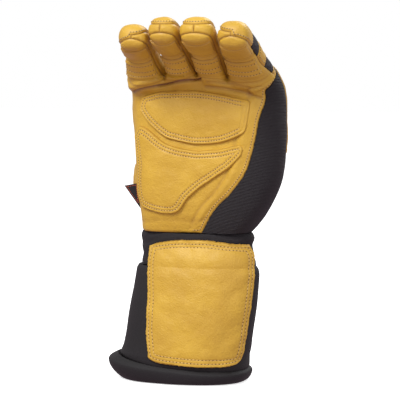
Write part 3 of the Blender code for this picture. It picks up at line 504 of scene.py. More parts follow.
def cuff_rows():
    """Cuff sections in millimetres, in the same columns."""
    side = WRIST_BREADTH / 2 + CUFF_STEP_SIDE
    front = WRIST_DEPTH / 2 + CUFF_STEP_FRONT
    return [[z * CUFF_HEIGHT, x * PALM_BREADTH, mix(side, CUFF_BREADTH / 2, a), y * WRIST_DEPTH,
             mix(front, CUFF_DEPTH / 2, b)] for z, x, a, y, b in CUFF]


# The fine skin


def cut(pts, faces, tags, field, allow, locked):
    """Cuts the skin where the field changes sign, on the faces that the allow test takes."""
    value = field(pts).tolist()
    pick = [False] * len(faces)
    edges = set()
    for k, (f, t) in enumerate(zip(faces, tags)):
        here = [value[v] for v in f]
        if min(here) < 0 < max(here) and allow(t, pts[list(f)].mean(axis=0)):
            pick[k] = True
            edges.update((min(a, b), max(a, b)) for a, b in zip(f, f[1:] + f[:1]))
    crossing = sorted((abs(value[a]) / (abs(value[a]) + abs(value[b])), a, b)
                      for a, b in edges if value[a] * value[b] < 0)
    near = sorted((min(t, 1 - t), a, b, t) for t, a, b in crossing)
    for close, a, b, t in near:
        if close > 0.3 or value[a] * value[b] >= 0:
            continue
        v, w, r = (a, b, t) if t < 0.5 else (b, a, 1 - t)
        if v in locked:
            if r < 0.12:
                value[v] = 0.0
            continue
        pts[v] = pts[v] * (1 - r) + pts[w] * r
        value[v] = 0.0
        locked.add(v)
    new_at, extra = {}, []
    for a, b in sorted(edges):
        if value[a] * value[b] < 0:
            t = value[a] / (value[a] - value[b])
            new_at[(a, b)] = len(pts) + len(extra)
            extra.append(pts[a] * (1 - t) + pts[b] * t)
    if extra:
        pts = np.vstack([pts, np.array(extra)])
        value += [0.0] * len(extra)
        locked.update(new_at.values())
    out, out_tags = [], []
    for f, t, ok in zip(faces, tags, pick):
        loop = f
        if new_at:
            loop = []
            for a, b in zip(f, f[1:] + f[:1]):
                loop.append(a)
                k = new_at.get((min(a, b), max(a, b)))
                if k is not None:
                    loop.append(k)
            loop = tuple(loop)
        split = None
        if ok:
            zeros = [j for j, v in enumerate(loop) if value[v] == 0.0]
            best = 0
            for i, a in enumerate(zeros):
                for b in zeros[i + 1:]:
                    one = [value[v] for v in loop[a + 1:b]]
                    two = [value[v] for v in loop[b + 1:] + loop[:a]]
                    score = abs(sum(one)) + abs(sum(two))
                    if one and two and sum(one) * sum(two) < 0 and score > best:
                        best, split = score, (a, b)
        if split:
            a, b = split
            out += [loop[a:b + 1], loop[b:] + loop[:a + 1]]
            out_tags += [t, t]
        else:
            out.append(loop)
            out_tags.append(t)
    return pts, out, out_tags


def lookup(rows, x):
    return np.interp(x, [r[0] for r in rows], [r[1] for r in rows])


def corners(faces):
    """Every face edge as two arrays of point numbers."""
    a = np.array([v for f in faces for v in f])
    b = np.array([v for f in faces for v in f[1:] + f[:1]])
    return a, b


def normals_of(pts, faces):
    tris = np.array([(f[0], f[j], f[j + 1]) for f in faces for j in range(1, len(f) - 1)])
    p = pts[:, :3]
    n = np.cross(p[tris[:, 1]] - p[tris[:, 0]], p[tris[:, 2]] - p[tris[:, 0]])
    total = np.zeros((len(pts), 3))
    for k in range(3):
        np.add.at(total, tris[:, k], n)
    size = np.linalg.norm(total, axis=1)
    size[size == 0] = 1
    return total / size[:, None]


def wall_room(pts, faces, normals):
    """How deep a wall may go at each point before it folds over itself at a tight bend."""
    a, b = corners(faces)
    d = pts[b, :3] - pts[a, :3]
    size = (d * d).sum(axis=1)
    ok = size > 0.04
    k = ((normals[b] - normals[a]) * d).sum(axis=1)[ok] / size[ok]
    bend = np.full(len(pts), 1e-3)
    np.maximum.at(bend, a[ok], k)
    np.maximum.at(bend, b[ok], k)
    return np.clip(WALL_BEND / bend, 0.35, 99.0)


def way_off(points, path):
    """Distance from points (two columns) to a broken line."""
    best = np.full(len(points), 1e9)
    path = np.array(path, float)
    for p, q in zip(path[:-1], path[1:]):
        d = q - p
        t = np.clip(((points - p) @ d) / (d @ d), 0, 1)
        best = np.minimum(best, np.linalg.norm(points - p - t[:, None] * d, axis=1))
    return best


def dip(d, width):
    """A smooth hump of height one where d is nought."""
    return np.exp(-(d / width) ** 2)


def waves(points, scale, shift=(0, 0, 0)):
    """Smooth noise at each point."""
    return np.array([noise.noise(Vector(p) * scale + Vector(shift)) for p in points.tolist()])


# Creases (positive) and rolls (negative) pressed into the palm side: depth, width, path of x, z; a
# crease's depth also sets how dark its painted shade is
FOLDS = (
    (2.2, 0.85, ((-34.0, 189.4), (-20.0, 192.6), (-6.0, 195.2), (6.0, 197.2), (17.0, 198.6))),
    (-1.9, 2.1, ((-33.0, 193.0), (-20.0, 196.6), (-6.0, 199.4), (6.0, 201.0))),
    (0.9, 1.1, ((20.0, 193.8), (32.0, 193.0), (45.0, 190.6), (56.0, 187.0))),
    (0.7, 1.0, ((22.0, 197.0), (36.0, 196.4), (50.0, 193.6))),
    (-0.6, 1.6, ((20.0, 191.6), (33.0, 190.6), (47.0, 188.2))),
    (0.6, 1.2, ((-34.0, 150.0), (-30.0, 140.0), (-31.0, 128.0))),
    (0.25, 1.4, ((-26.0, 104.0), (-8.0, 107.0), (10.0, 106.0), (24.0, 109.0))),
    (-0.2, 2.2, ((-24.0, 109.0), (-6.0, 112.0), (10.0, 110.0))),
    (0.2, 1.0, ((8.0, 101.0), (17.0, 107.0), (25.0, 116.0))),
)
# The rolled band of leather beside the gusset: how far inside the border, height, width
BORDER_ROLL = (-7.5, 0.9, 3.0)
BORDER_CREASE = (-12.5, 0.6, 1.6)
# Place along each finger of its plain row of stitches, above the pad
ACROSS_ROWS = (2.86,)
# Creases across the palm side of each finger: place along it, depth, width in rings
FINGER_FOLDS = (
    (0.28, 0.9, 0.10), (0.52, 0.5, 0.07), (2.36, 0.8, 0.08), (2.56, 0.6, 0.06), (4.5, 0.3, 0.08),
)


def relief(pts, normals):
    """Creases and rolls over the whole skin, and the painted shade in each crease, with a little random
    mottle.
    """
    xz = pts[:, [0, 2]]
    palm = np.clip(-normals[:, 1] * 1.4, 0, 1) * (pts[:, S] < 0.6)
    lift = np.zeros(len(pts))
    dark = np.zeros(len(pts))
    for depth, width, path in FOLDS:
        d = dip(way_off(xz, path), width)
        lift -= depth * d * palm
        # Painted shade in each crease, the deeper the darker
        if depth > 0:
            dark += depth * 0.5 * d * palm
    inside = (pts[:, C] - lookup(S_BORDER, share_up(pts[:, 2]))) * PALM_BREADTH / 2
    on = (pts[:, S] < 0) * (pts[:, P] > 0.2) * np.clip(share_up(pts[:, 2]) / 0.1, 0, 1)
    far, high, wide = BORDER_ROLL
    lift += high * dip(inside - far, wide) * on
    far, deep, wide = BORDER_CREASE
    lift -= deep * dip(inside - far, wide) * on
    # Painted shade along the crease beside the gusset border
    dark += 0.25 * dip(inside - far, wide) * on
    for s, depth, width in FINGER_FOLDS:
        d = dip(pts[:, S] - s, width) * np.clip(pts[:, P] * 1.6, 0, 1) * (pts[:, S] > 0)
        lift -= depth * d
        # Painted shade in the creases across the palm side of each finger
        dark += 0.28 * depth * d
        back = dip(pts[:, S] - s - 0.25, width) * np.clip(-pts[:, P] * 1.6, 0, 1) * (pts[:, S] > 0)
        lift -= 0.35 * depth * back
    soft = waves(pts[:, :3], 0.055)
    fine = waves(pts[:, :3], 0.19, (7, 1, 3))
    lift += 0.55 * soft + 0.22 * fine
    # A little random mottle in the tone
    dark += np.clip(-fine * 0.3 - 0.12, 0, 0.06)
    return lift, np.clip(dark, 0, 1)


# Pieces


class Piece:
    """One cut piece: the outer surface in millimetres, and each point's way to its own edge."""

    def __init__(self, pts, normals, faces, lift=None, dark=None, room=None):
        used = sorted({v for f in faces for v in f})
        at = {v: n for n, v in enumerate(used)}
        self.faces = [tuple(at[v] for v in f) for f in faces]
        self.pts = pts[used][:, :3].copy()
        self.info = pts[used]
        self.normals = normals[used].copy()
        self.lift = np.zeros(len(used)) if lift is None else lift[used].copy()
        self.dark = np.zeros(len(used)) if dark is None else dark[used].copy()
        self.room = np.full(len(used), 99.0) if room is None else room[used]
        seen = {}
        for f in self.faces:
            for a, b in zip(f, f[1:] + f[:1]):
                seen[(a, b)] = True
        self.rim = [e for e in seen if (e[1], e[0]) not in seen]
        marks = [self.pts[a] + (self.pts[b] - self.pts[a]) * t
                 for a, b in self.rim for t in (0, 0.25, 0.5, 0.75)]
        tree = KDTree(len(marks))
        for k, m in enumerate(marks):
            tree.insert(m, k)
        tree.balance()
        self.far = np.array([tree.find(p)[2] for p in self.pts.tolist()])

    def draw_in(self, gap):
        """Moves the edge inwards by half a gap."""
        push = np.zeros_like(self.pts)
        for a, b in self.rim:
            side = np.cross(self.normals[a], self.pts[b] - self.pts[a])
            side /= max(np.linalg.norm(side), 1e-9)
            push[a] += side
            push[b] += side
        size = np.linalg.norm(push, axis=1)
        on = size > 1e-6
        self.pts[on] += push[on] / size[on][:, None] * gap / 2

    def top(self):
        return self.pts + self.normals * self.lift[:, None]

    def build(self, name, wall, paint, nodes, under=0.0):
        """Closes the piece with an inner wall and makes its object."""
        n = len(self.pts)
        if under:
            deep = np.full(n, under)
        else:
            deep = np.minimum(self.lift - LEAST_WALL, -np.minimum(wall, self.room))
        verts = np.vstack([self.top(), self.pts + self.normals * deep[:, None]]) * MM
        faces = list(self.faces) + [tuple(n + v for v in reversed(f)) for f in self.faces]
        faces += [(b, a, n + a, n + b) for a, b in self.rim]
        obj = make(name, verts, faces, paint)
        # Attributes for the leather finish: painted crease shade with a little random mottle, and the
        # distance to the rim, near which painted shadow darkens it
        for key, one in (("dark", self.dark), ("edge", self.far)):
            layer = obj.data.attributes.new(key, "FLOAT", "POINT")
            layer.data.foreach_set("value", np.tile(one, 2).astype(np.float32))
        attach(obj, "root")
        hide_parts(*nodes)
        return obj

    def row(self, rows, d, keep=None):
        """Adds the line where d changes sign to a list of stitch rows."""
        top = self.top()
        at = {}
        for f in self.faces:
            hits = []
            for a, b in zip(f, f[1:] + f[:1]):
                if (d[a] < 0) != (d[b] < 0):
                    a, b = min(a, b), max(a, b)
                    if (a, b) not in at:
                        t = d[a] / (d[a] - d[b])
                        at[(a, b)] = len(rows[0])
                        rows[0].append(top[a] * (1 - t) + top[b] * t)
                        rows[1].append(self.normals[a])
                    hits.append(at[(a, b)])
            if len(hits) == 2 and (keep is None or keep(self.info[f[0]])):
                rows[2].append(tuple(hits))


def make(name, verts, faces, paint):
    mesh = bpy.data.meshes.new(name)
    mesh.from_pydata([tuple(v) for v in verts.tolist()], [], faces)
    mesh.shade_smooth()
    mesh.set_sharp_from_angle(angle=math.radians(55))
    mesh.materials.append(paint)
    obj = bpy.data.objects.new(name, mesh)
    bpy.context.scene.collection.objects.link(obj)
    return obj


# Finishes


class Wire:
    """A node's output that takes Python arithmetic."""

    def __init__(self, paint, out):
        self.paint, self.out = paint, out

    def maths(self, op, a, b=0.0):
        return self.paint.node("ShaderNodeMath", {"operation": op}, {0: a, 1: b})

    def __add__(self, o):
        return self.maths("ADD", self, o)

    def __sub__(self, o):
        return self.maths("SUBTRACT", self, o)

    def __rsub__(self, o):
        return self.maths("SUBTRACT", o, self)

    def __mul__(self, o):
        return self.maths("MULTIPLY", self, o)

    def sine(self):
        return self.maths("SINE", self)

    def between(self, low, high):
        return self.paint.node("ShaderNodeMapRange", {"clamp": True}, {"Value": self, 1: low, 2: high})

    __radd__, __rmul__ = __add__, __mul__


class Paint:
    """A finish under construction: one Principled shader and what feeds it."""

    def __init__(self, name, rough=0.5, coat=0.0, sheen=0.0):
        self.mat = bpy.data.materials.new(name)
        self.mat.use_nodes = True
        self.tree = self.mat.node_tree
        self.shader = self.tree.nodes["Principled BSDF"]
        self.shader.inputs["Roughness"].default_value = rough
        self.shader.inputs["Coat Weight"].default_value = coat
        self.shader.inputs["Coat Roughness"].default_value = 0.35
        self.shader.inputs["Sheen Weight"].default_value = sheen
        self.place = self.node("ShaderNodeTexCoord", {}, {}, "Object")

    def node(self, kind, settings, sockets, out=0):
        made = self.tree.nodes.new(kind)
        for key, value in settings.items():
            setattr(made, key, value)
        for key, value in sockets.items():
            self.plug(made.inputs[key], value)
        return Wire(self, made.outputs[out])

    def plug(self, socket, value):
        if isinstance(value, Wire):
            self.tree.links.new(value.out, socket)
        else:
            socket.default_value = value

    def blend(self, share, a, b):
        made = self.tree.nodes.new("ShaderNodeMix")
        made.data_type = "RGBA"
        for key, value in ((0, share), (6, a), (7, b)):
            self.plug(made.inputs[key], (*value, 1) if isinstance(value, tuple) else value)
        return Wire(self, made.outputs[2])

    def spots(self, scale, detail=2.0, rough=0.5):
        return self.node("ShaderNodeTexNoise", {}, {
            "Vector": self.place, "Scale": scale, "Detail": detail, "Roughness": rough}, "Fac")

    def cells(self, scale):
        return self.node("ShaderNodeTexVoronoi", {}, {"Vector": self.place, "Scale": scale}, "Distance")

    def value_of(self, name):
        return self.node("ShaderNodeAttribute", {"attribute_name": name}, {}, "Fac")

    def set(self, **what):
        for key, value in what.items():
            self.plug(self.shader.inputs[key.replace("_", " ")], value)

    def bump(self, height, depth):
        made = self.node("ShaderNodeBump", {}, {"Height": height, "Distance": depth}, "Normal")
        self.plug(self.shader.inputs["Normal"], made)


def leather(name):
    """Smooth golden grain leather with a tone that drifts at random, painted brown shade in its creases
    and painted shadow along the rim of each piece.
    """
    p = Paint(name, coat=0.12)
    cloud = p.spots(38.0, 3.0)
    small = p.spots(210.0, 4.0, 0.6)
    grain = p.cells(1150.0)
    dark = p.value_of("dark")
    edge = p.value_of("edge")
    colour = p.blend(cloud.between(0.35, 0.7), (0.55, 0.32, 0.026), (0.65, 0.40, 0.035))
    colour = p.blend(small.between(0.5, 0.8) * 0.14, colour, (0.48, 0.24, 0.045))
    # Painted shadow: brown within about a millimetre of each piece's rim, where shade falls into the
    # seams
    colour = p.blend((1 - edge.between(0.0, 0.9)) * 0.5, colour, (0.27, 0.11, 0.04))
    # Painted shade: deep brown in the creases and in the grooves under the rows of stitches, with a
    # faint random mottle
    colour = p.blend(dark.between(0.05, 1.0) * 0.85, colour, (0.20, 0.075, 0.04))
    p.set(Base_Color=colour, Roughness=small * 0.2 + 0.45)
    p.bump(grain * 0.35 + small + p.spots(520.0, 3.0) * 0.5, 0.00042)
    return p.mat


def stretch_cloth(name, pitch=0.00095, slope=0.12, depth=0.00028):
    """Black stretch cloth with fine ribs."""
    p = Paint(name, rough=0.8)
    parts = p.tree.nodes.new("ShaderNodeSeparateXYZ")
    p.plug(parts.inputs[0], p.place)
    x, z = Wire(p, parts.outputs[0]), Wire(p, parts.outputs[2])
    wander = p.spots(30.0, 2.0)
    rib = ((z + x * slope + wander * 0.0012) * (2 * math.pi / pitch)).sine()
    knots = p.spots(1500.0, 2.0)
    colour = p.blend(rib.between(-1.0, 1.0) * 0.6 + knots * 0.3,
                     (0.006, 0.0048, 0.006), (0.021, 0.0175, 0.021))
    p.set(Base_Color=colour)
    p.bump(rib * 0.5 + knots * 0.5, depth)
    return p.mat


def cuff_cloth(name):
    """Charcoal foam-backed cloth with a soft nap."""
    p = Paint(name, rough=0.75)
    cloud = p.spots(22.0, 2.0)
    nap = p.spots(1300.0, 3.0, 0.7)
    colour = p.blend(cloud.between(0.3, 0.75), (0.006, 0.005, 0.0058), (0.0095, 0.0078, 0.009))
    colour = p.blend(nap.between(0.5, 0.8) * 0.3, colour, (0.026, 0.0225, 0.026))
    p.set(Base_Color=colour)
    p.bump(nap + p.cells(900.0) * 0.4, 0.00016)
    return p.mat


def thread(name, light, shade):
    p = Paint(name, rough=0.6, sheen=0.2)
    p.set(Base_Color=p.blend(p.spots(900.0, 1.0), light, shade))
    p.bump(p.spots(2600.0, 1.0), 0.00008)
    return p.mat


GOLD = leather("gold_leather")
KNIT = stretch_cloth("black_knit", 0.0008, 0.0, 0.00018)
RIBBED = stretch_cloth("ribbed_stretch_cloth")
CUFF_CLOTH = cuff_cloth("charcoal_cuff_cloth")
THREAD = thread("golden_thread", (0.78, 0.56, 0.20), (0.55, 0.33, 0.09))
# Painted shade: dark brown dots that stand for the shade inside the needle holes
HOLE_SHADE_PAINT = thread("stitch_hole_brown", (0.13, 0.05, 0.025), (0.07, 0.028, 0.016))
TAG_THREAD = thread("orange_thread", (0.75, 0.12, 0.03), (0.55, 0.08, 0.03))

pad_rows = ([], [], [])
patch_rows = ([], [], [])
tag_rows = ([], [], [])


def finger(t, c):
    """Is a face on a finger?"""
    return 1 <= t[0] <= 4


def outer(t):
    return t in ((1, 0), (4, 1))


def beside_gusset(v):
    """Is a point of the palm leather close to the border of the gusset?"""
    return v[S] < 0 and abs(v[C] - lookup(S_BORDER, share_up(v[2]))) < 0.16 and v[P] > 0


def build_hand(level):
    """Cuts the fine skin along the seams of the hand and builds every piece of it."""
    pts, faces, tags = smoothed_hand(level)
    whole = {edge for f in faces for edge in zip(f, f[1:] + f[:1])}
    locked = {v for a, b in whole if (b, a) not in whole for v in (a, b)}
    steps = [
        (lambda v: v[:, P] - v[:, M], finger),
        (lambda v: -v[:, P] - v[:, M], lambda t, c: finger(t, c) and not outer(t)),
        (lambda v: v[:, P] + 0.0, lambda t, c: t == (PALM, 0) and c[Q] < -0.5),
        (lambda v: v[:, C] - lookup(S_BORDER, share_up(v[:, 2])),
         lambda t, c: t == (PALM, 1) and c[P] > -0.3),
        (lambda v: v[:, C] - GUSSET_BACK, lambda t, c: t == (PALM, 1) and c[Q] > 0.3),
        (lambda v: share_up(v[:, 2]) - lookup(GUARD_BORDER, v[:, Q]),
         lambda t, c: t[0] == PALM and (c[C] > GUSSET_BACK or (t[1] == 0 and c[P] < -0.05))),
    ]
    for step in BACK_STEPS:
        steps.append((lambda v, s=step: v[:, S] - s,
                      lambda t, c: finger(t, c) and c[P] < (c[M] if outer(t) else -c[M])))
    for field, allow in steps:
        pts, faces, tags = cut(pts, faces, tags, field, allow, locked)
    normals = normals_of(pts, faces)
    room = wall_room(pts, faces, normals)
    lift, dark = relief(pts, normals)

    group = {}
    for f, (part, half) in zip(faces, tags):
        c = pts[list(f)].mean(axis=0)
        if part == THUMB_TAG:
            label = "thumb_leather"
        elif part == PALM:
            if half == 1 and lookup(S_BORDER, share_up(c[2])) < c[C] < GUSSET_BACK:
                label = "side_gusset"
            elif (half == 1 and c[C] < GUSSET_BACK) or (half == 0 and c[P] > 0):
                label = "palm_leather"
            elif share_up(c[2]) > lookup(GUARD_BORDER, c[Q]):
                label = "knuckle_guard"
            else:
                label = "back_fabric"
        elif c[P] > c[M]:
            label = "palm_leather"
        elif c[P] < -c[M] or outer((part, half)):
            zone = sum(c[S] > s for s in BACK_STEPS)
            label = ("knuckle_guard", "lower_band_%d" % part, "back_segment_%d" % part,
                     "upper_band_%d" % part, "finger_cap_%d" % part)[zone]
        else:
            label = "fourchette_%d" % (part if half == 1 else part - 1)
        group.setdefault(label, []).append(f)
    for label in sorted(group):
        cloth = label in ("side_gusset", "back_fabric") or "band" in label
        piece = Piece(pts, normals, group[label], lift * (0.45 if cloth else 1.0), dark, room)
        piece.draw_in(SEAM_DRAW)
        if cloth:
            piece.lift += CLOTH_SWELL * (1 - dip(piece.far, CLOTH_REACH)) - CLOTH_SWELL
        else:
            piece.lift += LEATHER_SWELL * (1 - dip(piece.far, LEATHER_REACH))
            piece.lift -= EDGE_DROP * dip(piece.far, EDGE_REACH)
            if label != "palm_leather" and not label.startswith("four"):
                piece.row(pad_rows, piece.far - PIECE_ROW)
        if label == "palm_leather":
            piece.row(pad_rows, piece.far - BORDER_ROW, beside_gusset)
            for place in ACROSS_ROWS:
                piece.row(pad_rows, piece.info[:, S] - place, lambda v: v[P] > 0.3 and v[S] > 0)
        paint = RIBBED if label == "side_gusset" else KNIT if cloth else GOLD
        piece.build(label + "_soft", FABRIC if cloth else LEATHER, paint,
                    [label])


def pad_shape(piece, thick, rows, deep=0.3):
    """Lifts a sewn pad off the skin: rolled edge, a groove under each row with painted shade in it,
    soft swell inside.
    """
    swell = 0.35 * (1 - dip(piece.far, 7.0))
    piece.lift += thick * (1 - 0.8 * dip(piece.far, 0.45)) + swell
    for far in rows:
        groove = dip(piece.far - far, 0.55)
        piece.lift -= deep * groove
        # Painted shade in the groove under each row of stitches
        piece.dark = np.clip(piece.dark + 0.16 * groove, 0, 1)


def build_finger_pads(level):
    """The two sewn pads on the palm side of each finger."""
    pts, faces, tags = smoothed_hand(level)
    locked = set()
    pts, faces, tags = cut(pts, faces, tags, lambda v: v[:, P] - PAD_HALF, finger, locked)
    for step in FINGER_PAD + TIP_PAD:
        pts, faces, tags = cut(pts, faces, tags, lambda v, s=step: v[:, S] - s,
                               lambda t, c: finger(t, c) and c[P] > PAD_HALF, locked)
    normals = normals_of(pts, faces)
    lift, dark = relief(pts, normals)
    for i in range(1, 5):
        for label, (lo, hi) in (("finger_pad", FINGER_PAD), ("tip_pad", TIP_PAD)):
            mine = []
            for f, (part, _half) in zip(faces, tags):
                if part == i:
                    c = pts[list(f)].mean(axis=0)
                    if c[P] > PAD_HALF and lo < c[S] < hi:
                        mine.append(f)
            piece = Piece(pts, normals, mine, lift * 0.8, dark)
            sewn = label == "finger_pad"
            pad_shape(piece, LAY_GAP + PAD * (0.8 if sewn else 0.45), ())
            for place in [lo + step for step in PAD_LOW_ROWS] + [hi - PAD_HIGH_ROW] if sewn else ():
                d = piece.info[:, S] - place
                piece.lift -= 0.22 * dip(d, 0.06)
                piece.row(pad_rows, d)
            name = "%s_%d" % (label, i)
            piece.build(name + "_soft", 0.0, GOLD, [name], under=LAY_GAP - 0.2)


def along(edge, n):
    """Points spread evenly along a broken line."""
    e = np.array(edge, float)
    d = np.concatenate([[0], np.cumsum(np.linalg.norm(np.diff(e, axis=0), axis=1))])
    t = np.linspace(0, d[-1], n + 1)
    return np.stack([np.interp(t, d, e[:, 0]), np.interp(t, d, e[:, 1])], axis=1)


def softened(line, times):
    """Rounds the bends of an edge between its two ends."""
    for _ in range(times):
        line[1:-1] = 0.25 * line[:-2] + 0.5 * line[1:-1] + 0.25 * line[2:]
    return line


def rounded(nu, nv, low, high):
    """Places u and v over a square, its low and high corners rounded by a share of its side."""
    u, v = np.meshgrid(np.linspace(-1, 1, nu + 1), np.linspace(-1, 1, nv + 1))
    trim = np.where(v > 0, high, low)
    return 0.5 + 0.5 * u * (1 - trim * v ** 10), 0.5 + 0.5 * v * (1 - trim * u ** 10)


def coons(top, low, left, right, nu, nv):
    """A grid filled in between four edges that meet at their ends, its corners rounded."""
    t, b = softened(along(top, nu), nu // 8), softened(along(low, nu), nu // 8)
    le, r = softened(along(left, nv), nv // 8), softened(along(right, nv), nv // 8)
    u, v = rounded(nu, nv, *PAD_CORNERS)

    def read(edge, at):
        steps = np.linspace(0, 1, len(edge))
        return np.stack([np.interp(at, steps, edge[:, 0]), np.interp(at, steps, edge[:, 1])], axis=-1)

    t0, t1, b0, b1 = t[0], t[-1], b[0], b[-1]
    t, b, le, r = read(t, u), read(b, u), read(le, v), read(r, v)
    u, v = u[:, :, None], v[:, :, None]
    return ((1 - v) * b + v * t + (1 - u) * le + u * r
            - (1 - u) * (1 - v) * b0 - u * (1 - v) * b1 - (1 - u) * v * t0 - u * v * t1)


def grid_faces(nv, nu):
    """The quads of a grid, row by row."""
    return [(j * (nu + 1) + i, j * (nu + 1) + i + 1, (j + 1) * (nu + 1) + i + 1, (j + 1) * (nu + 1) + i)
            for j in range(nv) for i in range(nu)]


def build_palm_pad(name, edges, tree, nu, nv, rows, end):
    """Lays a sewn pad on the skin of the palm, with its rows of stitches as far as end in x."""
    grid = coons(*edges, nu, nv)
    g = np.zeros((nv + 1, nu + 1, 3))
    n = np.zeros_like(g)
    for j in range(nv + 1):
        for i in range(nu + 1):
            start = Vector(on_hand(grid[j, i, 0], -3.0, grid[j, i, 1]))
            hit, normal = tree.ray_cast(start, Vector((0, 1, 0)))[:2]
            g[j, i] = hit
            n[j, i] = -normal if normal.y > 0 else normal
    for _ in range(max(nu // 10, 4)):
        w = np.pad(n, ((1, 1), (1, 1), (0, 0)), mode="edge")
        n = w[1:-1, 1:-1] * 2 + w[:-2, 1:-1] + w[2:, 1:-1] + w[1:-1, :-2] + w[1:-1, 2:]
        n /= np.linalg.norm(n, axis=2)[:, :, None]
        w = np.pad(g, ((1, 1), (1, 1), (0, 0)), mode="edge")
        mean = 0.25 * (w[:-2, 1:-1] + w[2:, 1:-1] + w[1:-1, :-2] + w[1:-1, 2:])
        g[1:-1, 1:-1] = 0.5 * g[1:-1, 1:-1] + 0.5 * mean[1:-1, 1:-1]
    flat = g.reshape(-1, 3)
    flat_n = n.reshape(-1, 3)
    info = np.hstack([flat, np.zeros((len(flat), 5))])
    info[:, S] = -1
    soft, fine = waves(flat, 0.055), waves(flat, 0.17, (2, 9, 4))
    piece = Piece(info, flat_n, grid_faces(nv, nu), 0.5 * soft + 0.28 * fine,
                  np.clip(-fine * 0.3 - 0.1, 0, 0.06))
    pad_shape(piece, LAY_GAP + 0.1 + PAD + 0.3, rows, 0.32)
    for far in rows:
        piece.row(pad_rows, piece.far - far, lambda v: v[0] < end)
    obj = piece.build(name + "_soft", 0.0, GOLD, [name], under=LAY_GAP - 0.35)


# Cuff


def sleeve(name, grid, wall, paint, nodes):
    """A hollow sleeve through a grid of rings, top ring first, closed at both ends."""
    rings, around = grid.shape[:2]
    du = np.roll(grid, -1, axis=1) - np.roll(grid, 1, axis=1)
    dv = np.gradient(grid, axis=0)
    out = np.cross(dv, du)
    out /= np.linalg.norm(out, axis=2)[:, :, None]
    inner = grid - out * np.asarray(wall).reshape(-1, 1, 1)
    verts = np.vstack([grid.reshape(-1, 3), inner.reshape(-1, 3)]) * MM
    faces = []
    n = rings * around
    for j in range(rings - 1):
        for k in range(around):
            a, b = j * around + k, j * around + (k + 1) % around
            faces.append((b, a, a + around, b + around))
            faces.append((n + a, n + b, n + b + around, n + a + around))
    last = (rings - 1) * around
    for k in range(around):
        a, b = k, (k + 1) % around
        faces.append((a, b, n + b, n + a))
        faces.append((last + b, last + a, n + last + a, n + last + b))
    obj = make(name, verts, faces, paint)
    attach(obj, "root")
    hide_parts(*nodes)
    return obj


def section_at(rows, z):
    """Centre x, half breadth, centre y and half depth, read at a height."""
    zs = [r[0] for r in rows][::-1]
    return [np.interp(z, zs, [r[k] for r in rows][::-1]) for k in (1, 2, 3, 4)]


def rounded_ring(cx, a, cy, b, z, angles):
    """Points round a section between an ellipse and a box."""
    power = 2.0 / SECTION_POWER
    c, s = np.cos(angles), np.sin(angles)
    x = cx + a * np.sign(c) * np.abs(c) ** power
    y = cy + b * np.sign(s) * np.abs(s) ** power
    return np.stack([x, y, z], axis=-1)


def ring_at(rows, z, angles, inset=0.0):
    """A rounded section at one height, or at one height for each angle."""
    z = np.broadcast_to(z, angles.shape)
    cx, a, cy, b = section_at(rows, z)
    return rounded_ring(cx, a - inset, cy, b - inset, z, angles)


def smooth_rows(rows):
    """More rows, read from a smooth curve through the given ones."""
    rows = np.array(rows, float)
    out = []
    for k in range(len(rows) - 1):
        p0, p1, p2, p3 = rows[max(k - 1, 0)], rows[k], rows[k + 1], rows[min(k + 2, len(rows) - 1)]
        for t in np.linspace(0, 1, 8, endpoint=False):
            out.append(0.5 * (2 * p1 + (p2 - p0) * t + (2 * p0 - 5 * p1 + 4 * p2 - p3) * t ** 2
                              + (3 * p1 - p0 - 3 * p2 + p3) * t ** 3))
    return out + [rows[-1]]


AROUND = 200
ANGLES = np.linspace(0, 2 * math.pi, AROUND, endpoint=False)


def hem_top(angles):
    left = 0.5 - 0.5 * np.cos(angles)
    return HEM_RIGHT_TOP + (HEM_LEFT_TOP - HEM_RIGHT_TOP) * left ** 2


def cloth_noise(grid, size, high, seed):
    """Pushes a sleeve in and out softly, in line with its rings."""
    centre = grid.mean(axis=1, keepdims=True)
    way = grid - centre
    way[:, :, 2] = 0
    way /= np.linalg.norm(way, axis=2)[:, :, None]
    for j in range(grid.shape[0]):
        for k in range(grid.shape[1]):
            x, y, z = grid[j, k] * size
            grid[j, k] += way[j, k] * high * noise.noise(Vector((x, y, z * 0.4 + seed)))
    return grid


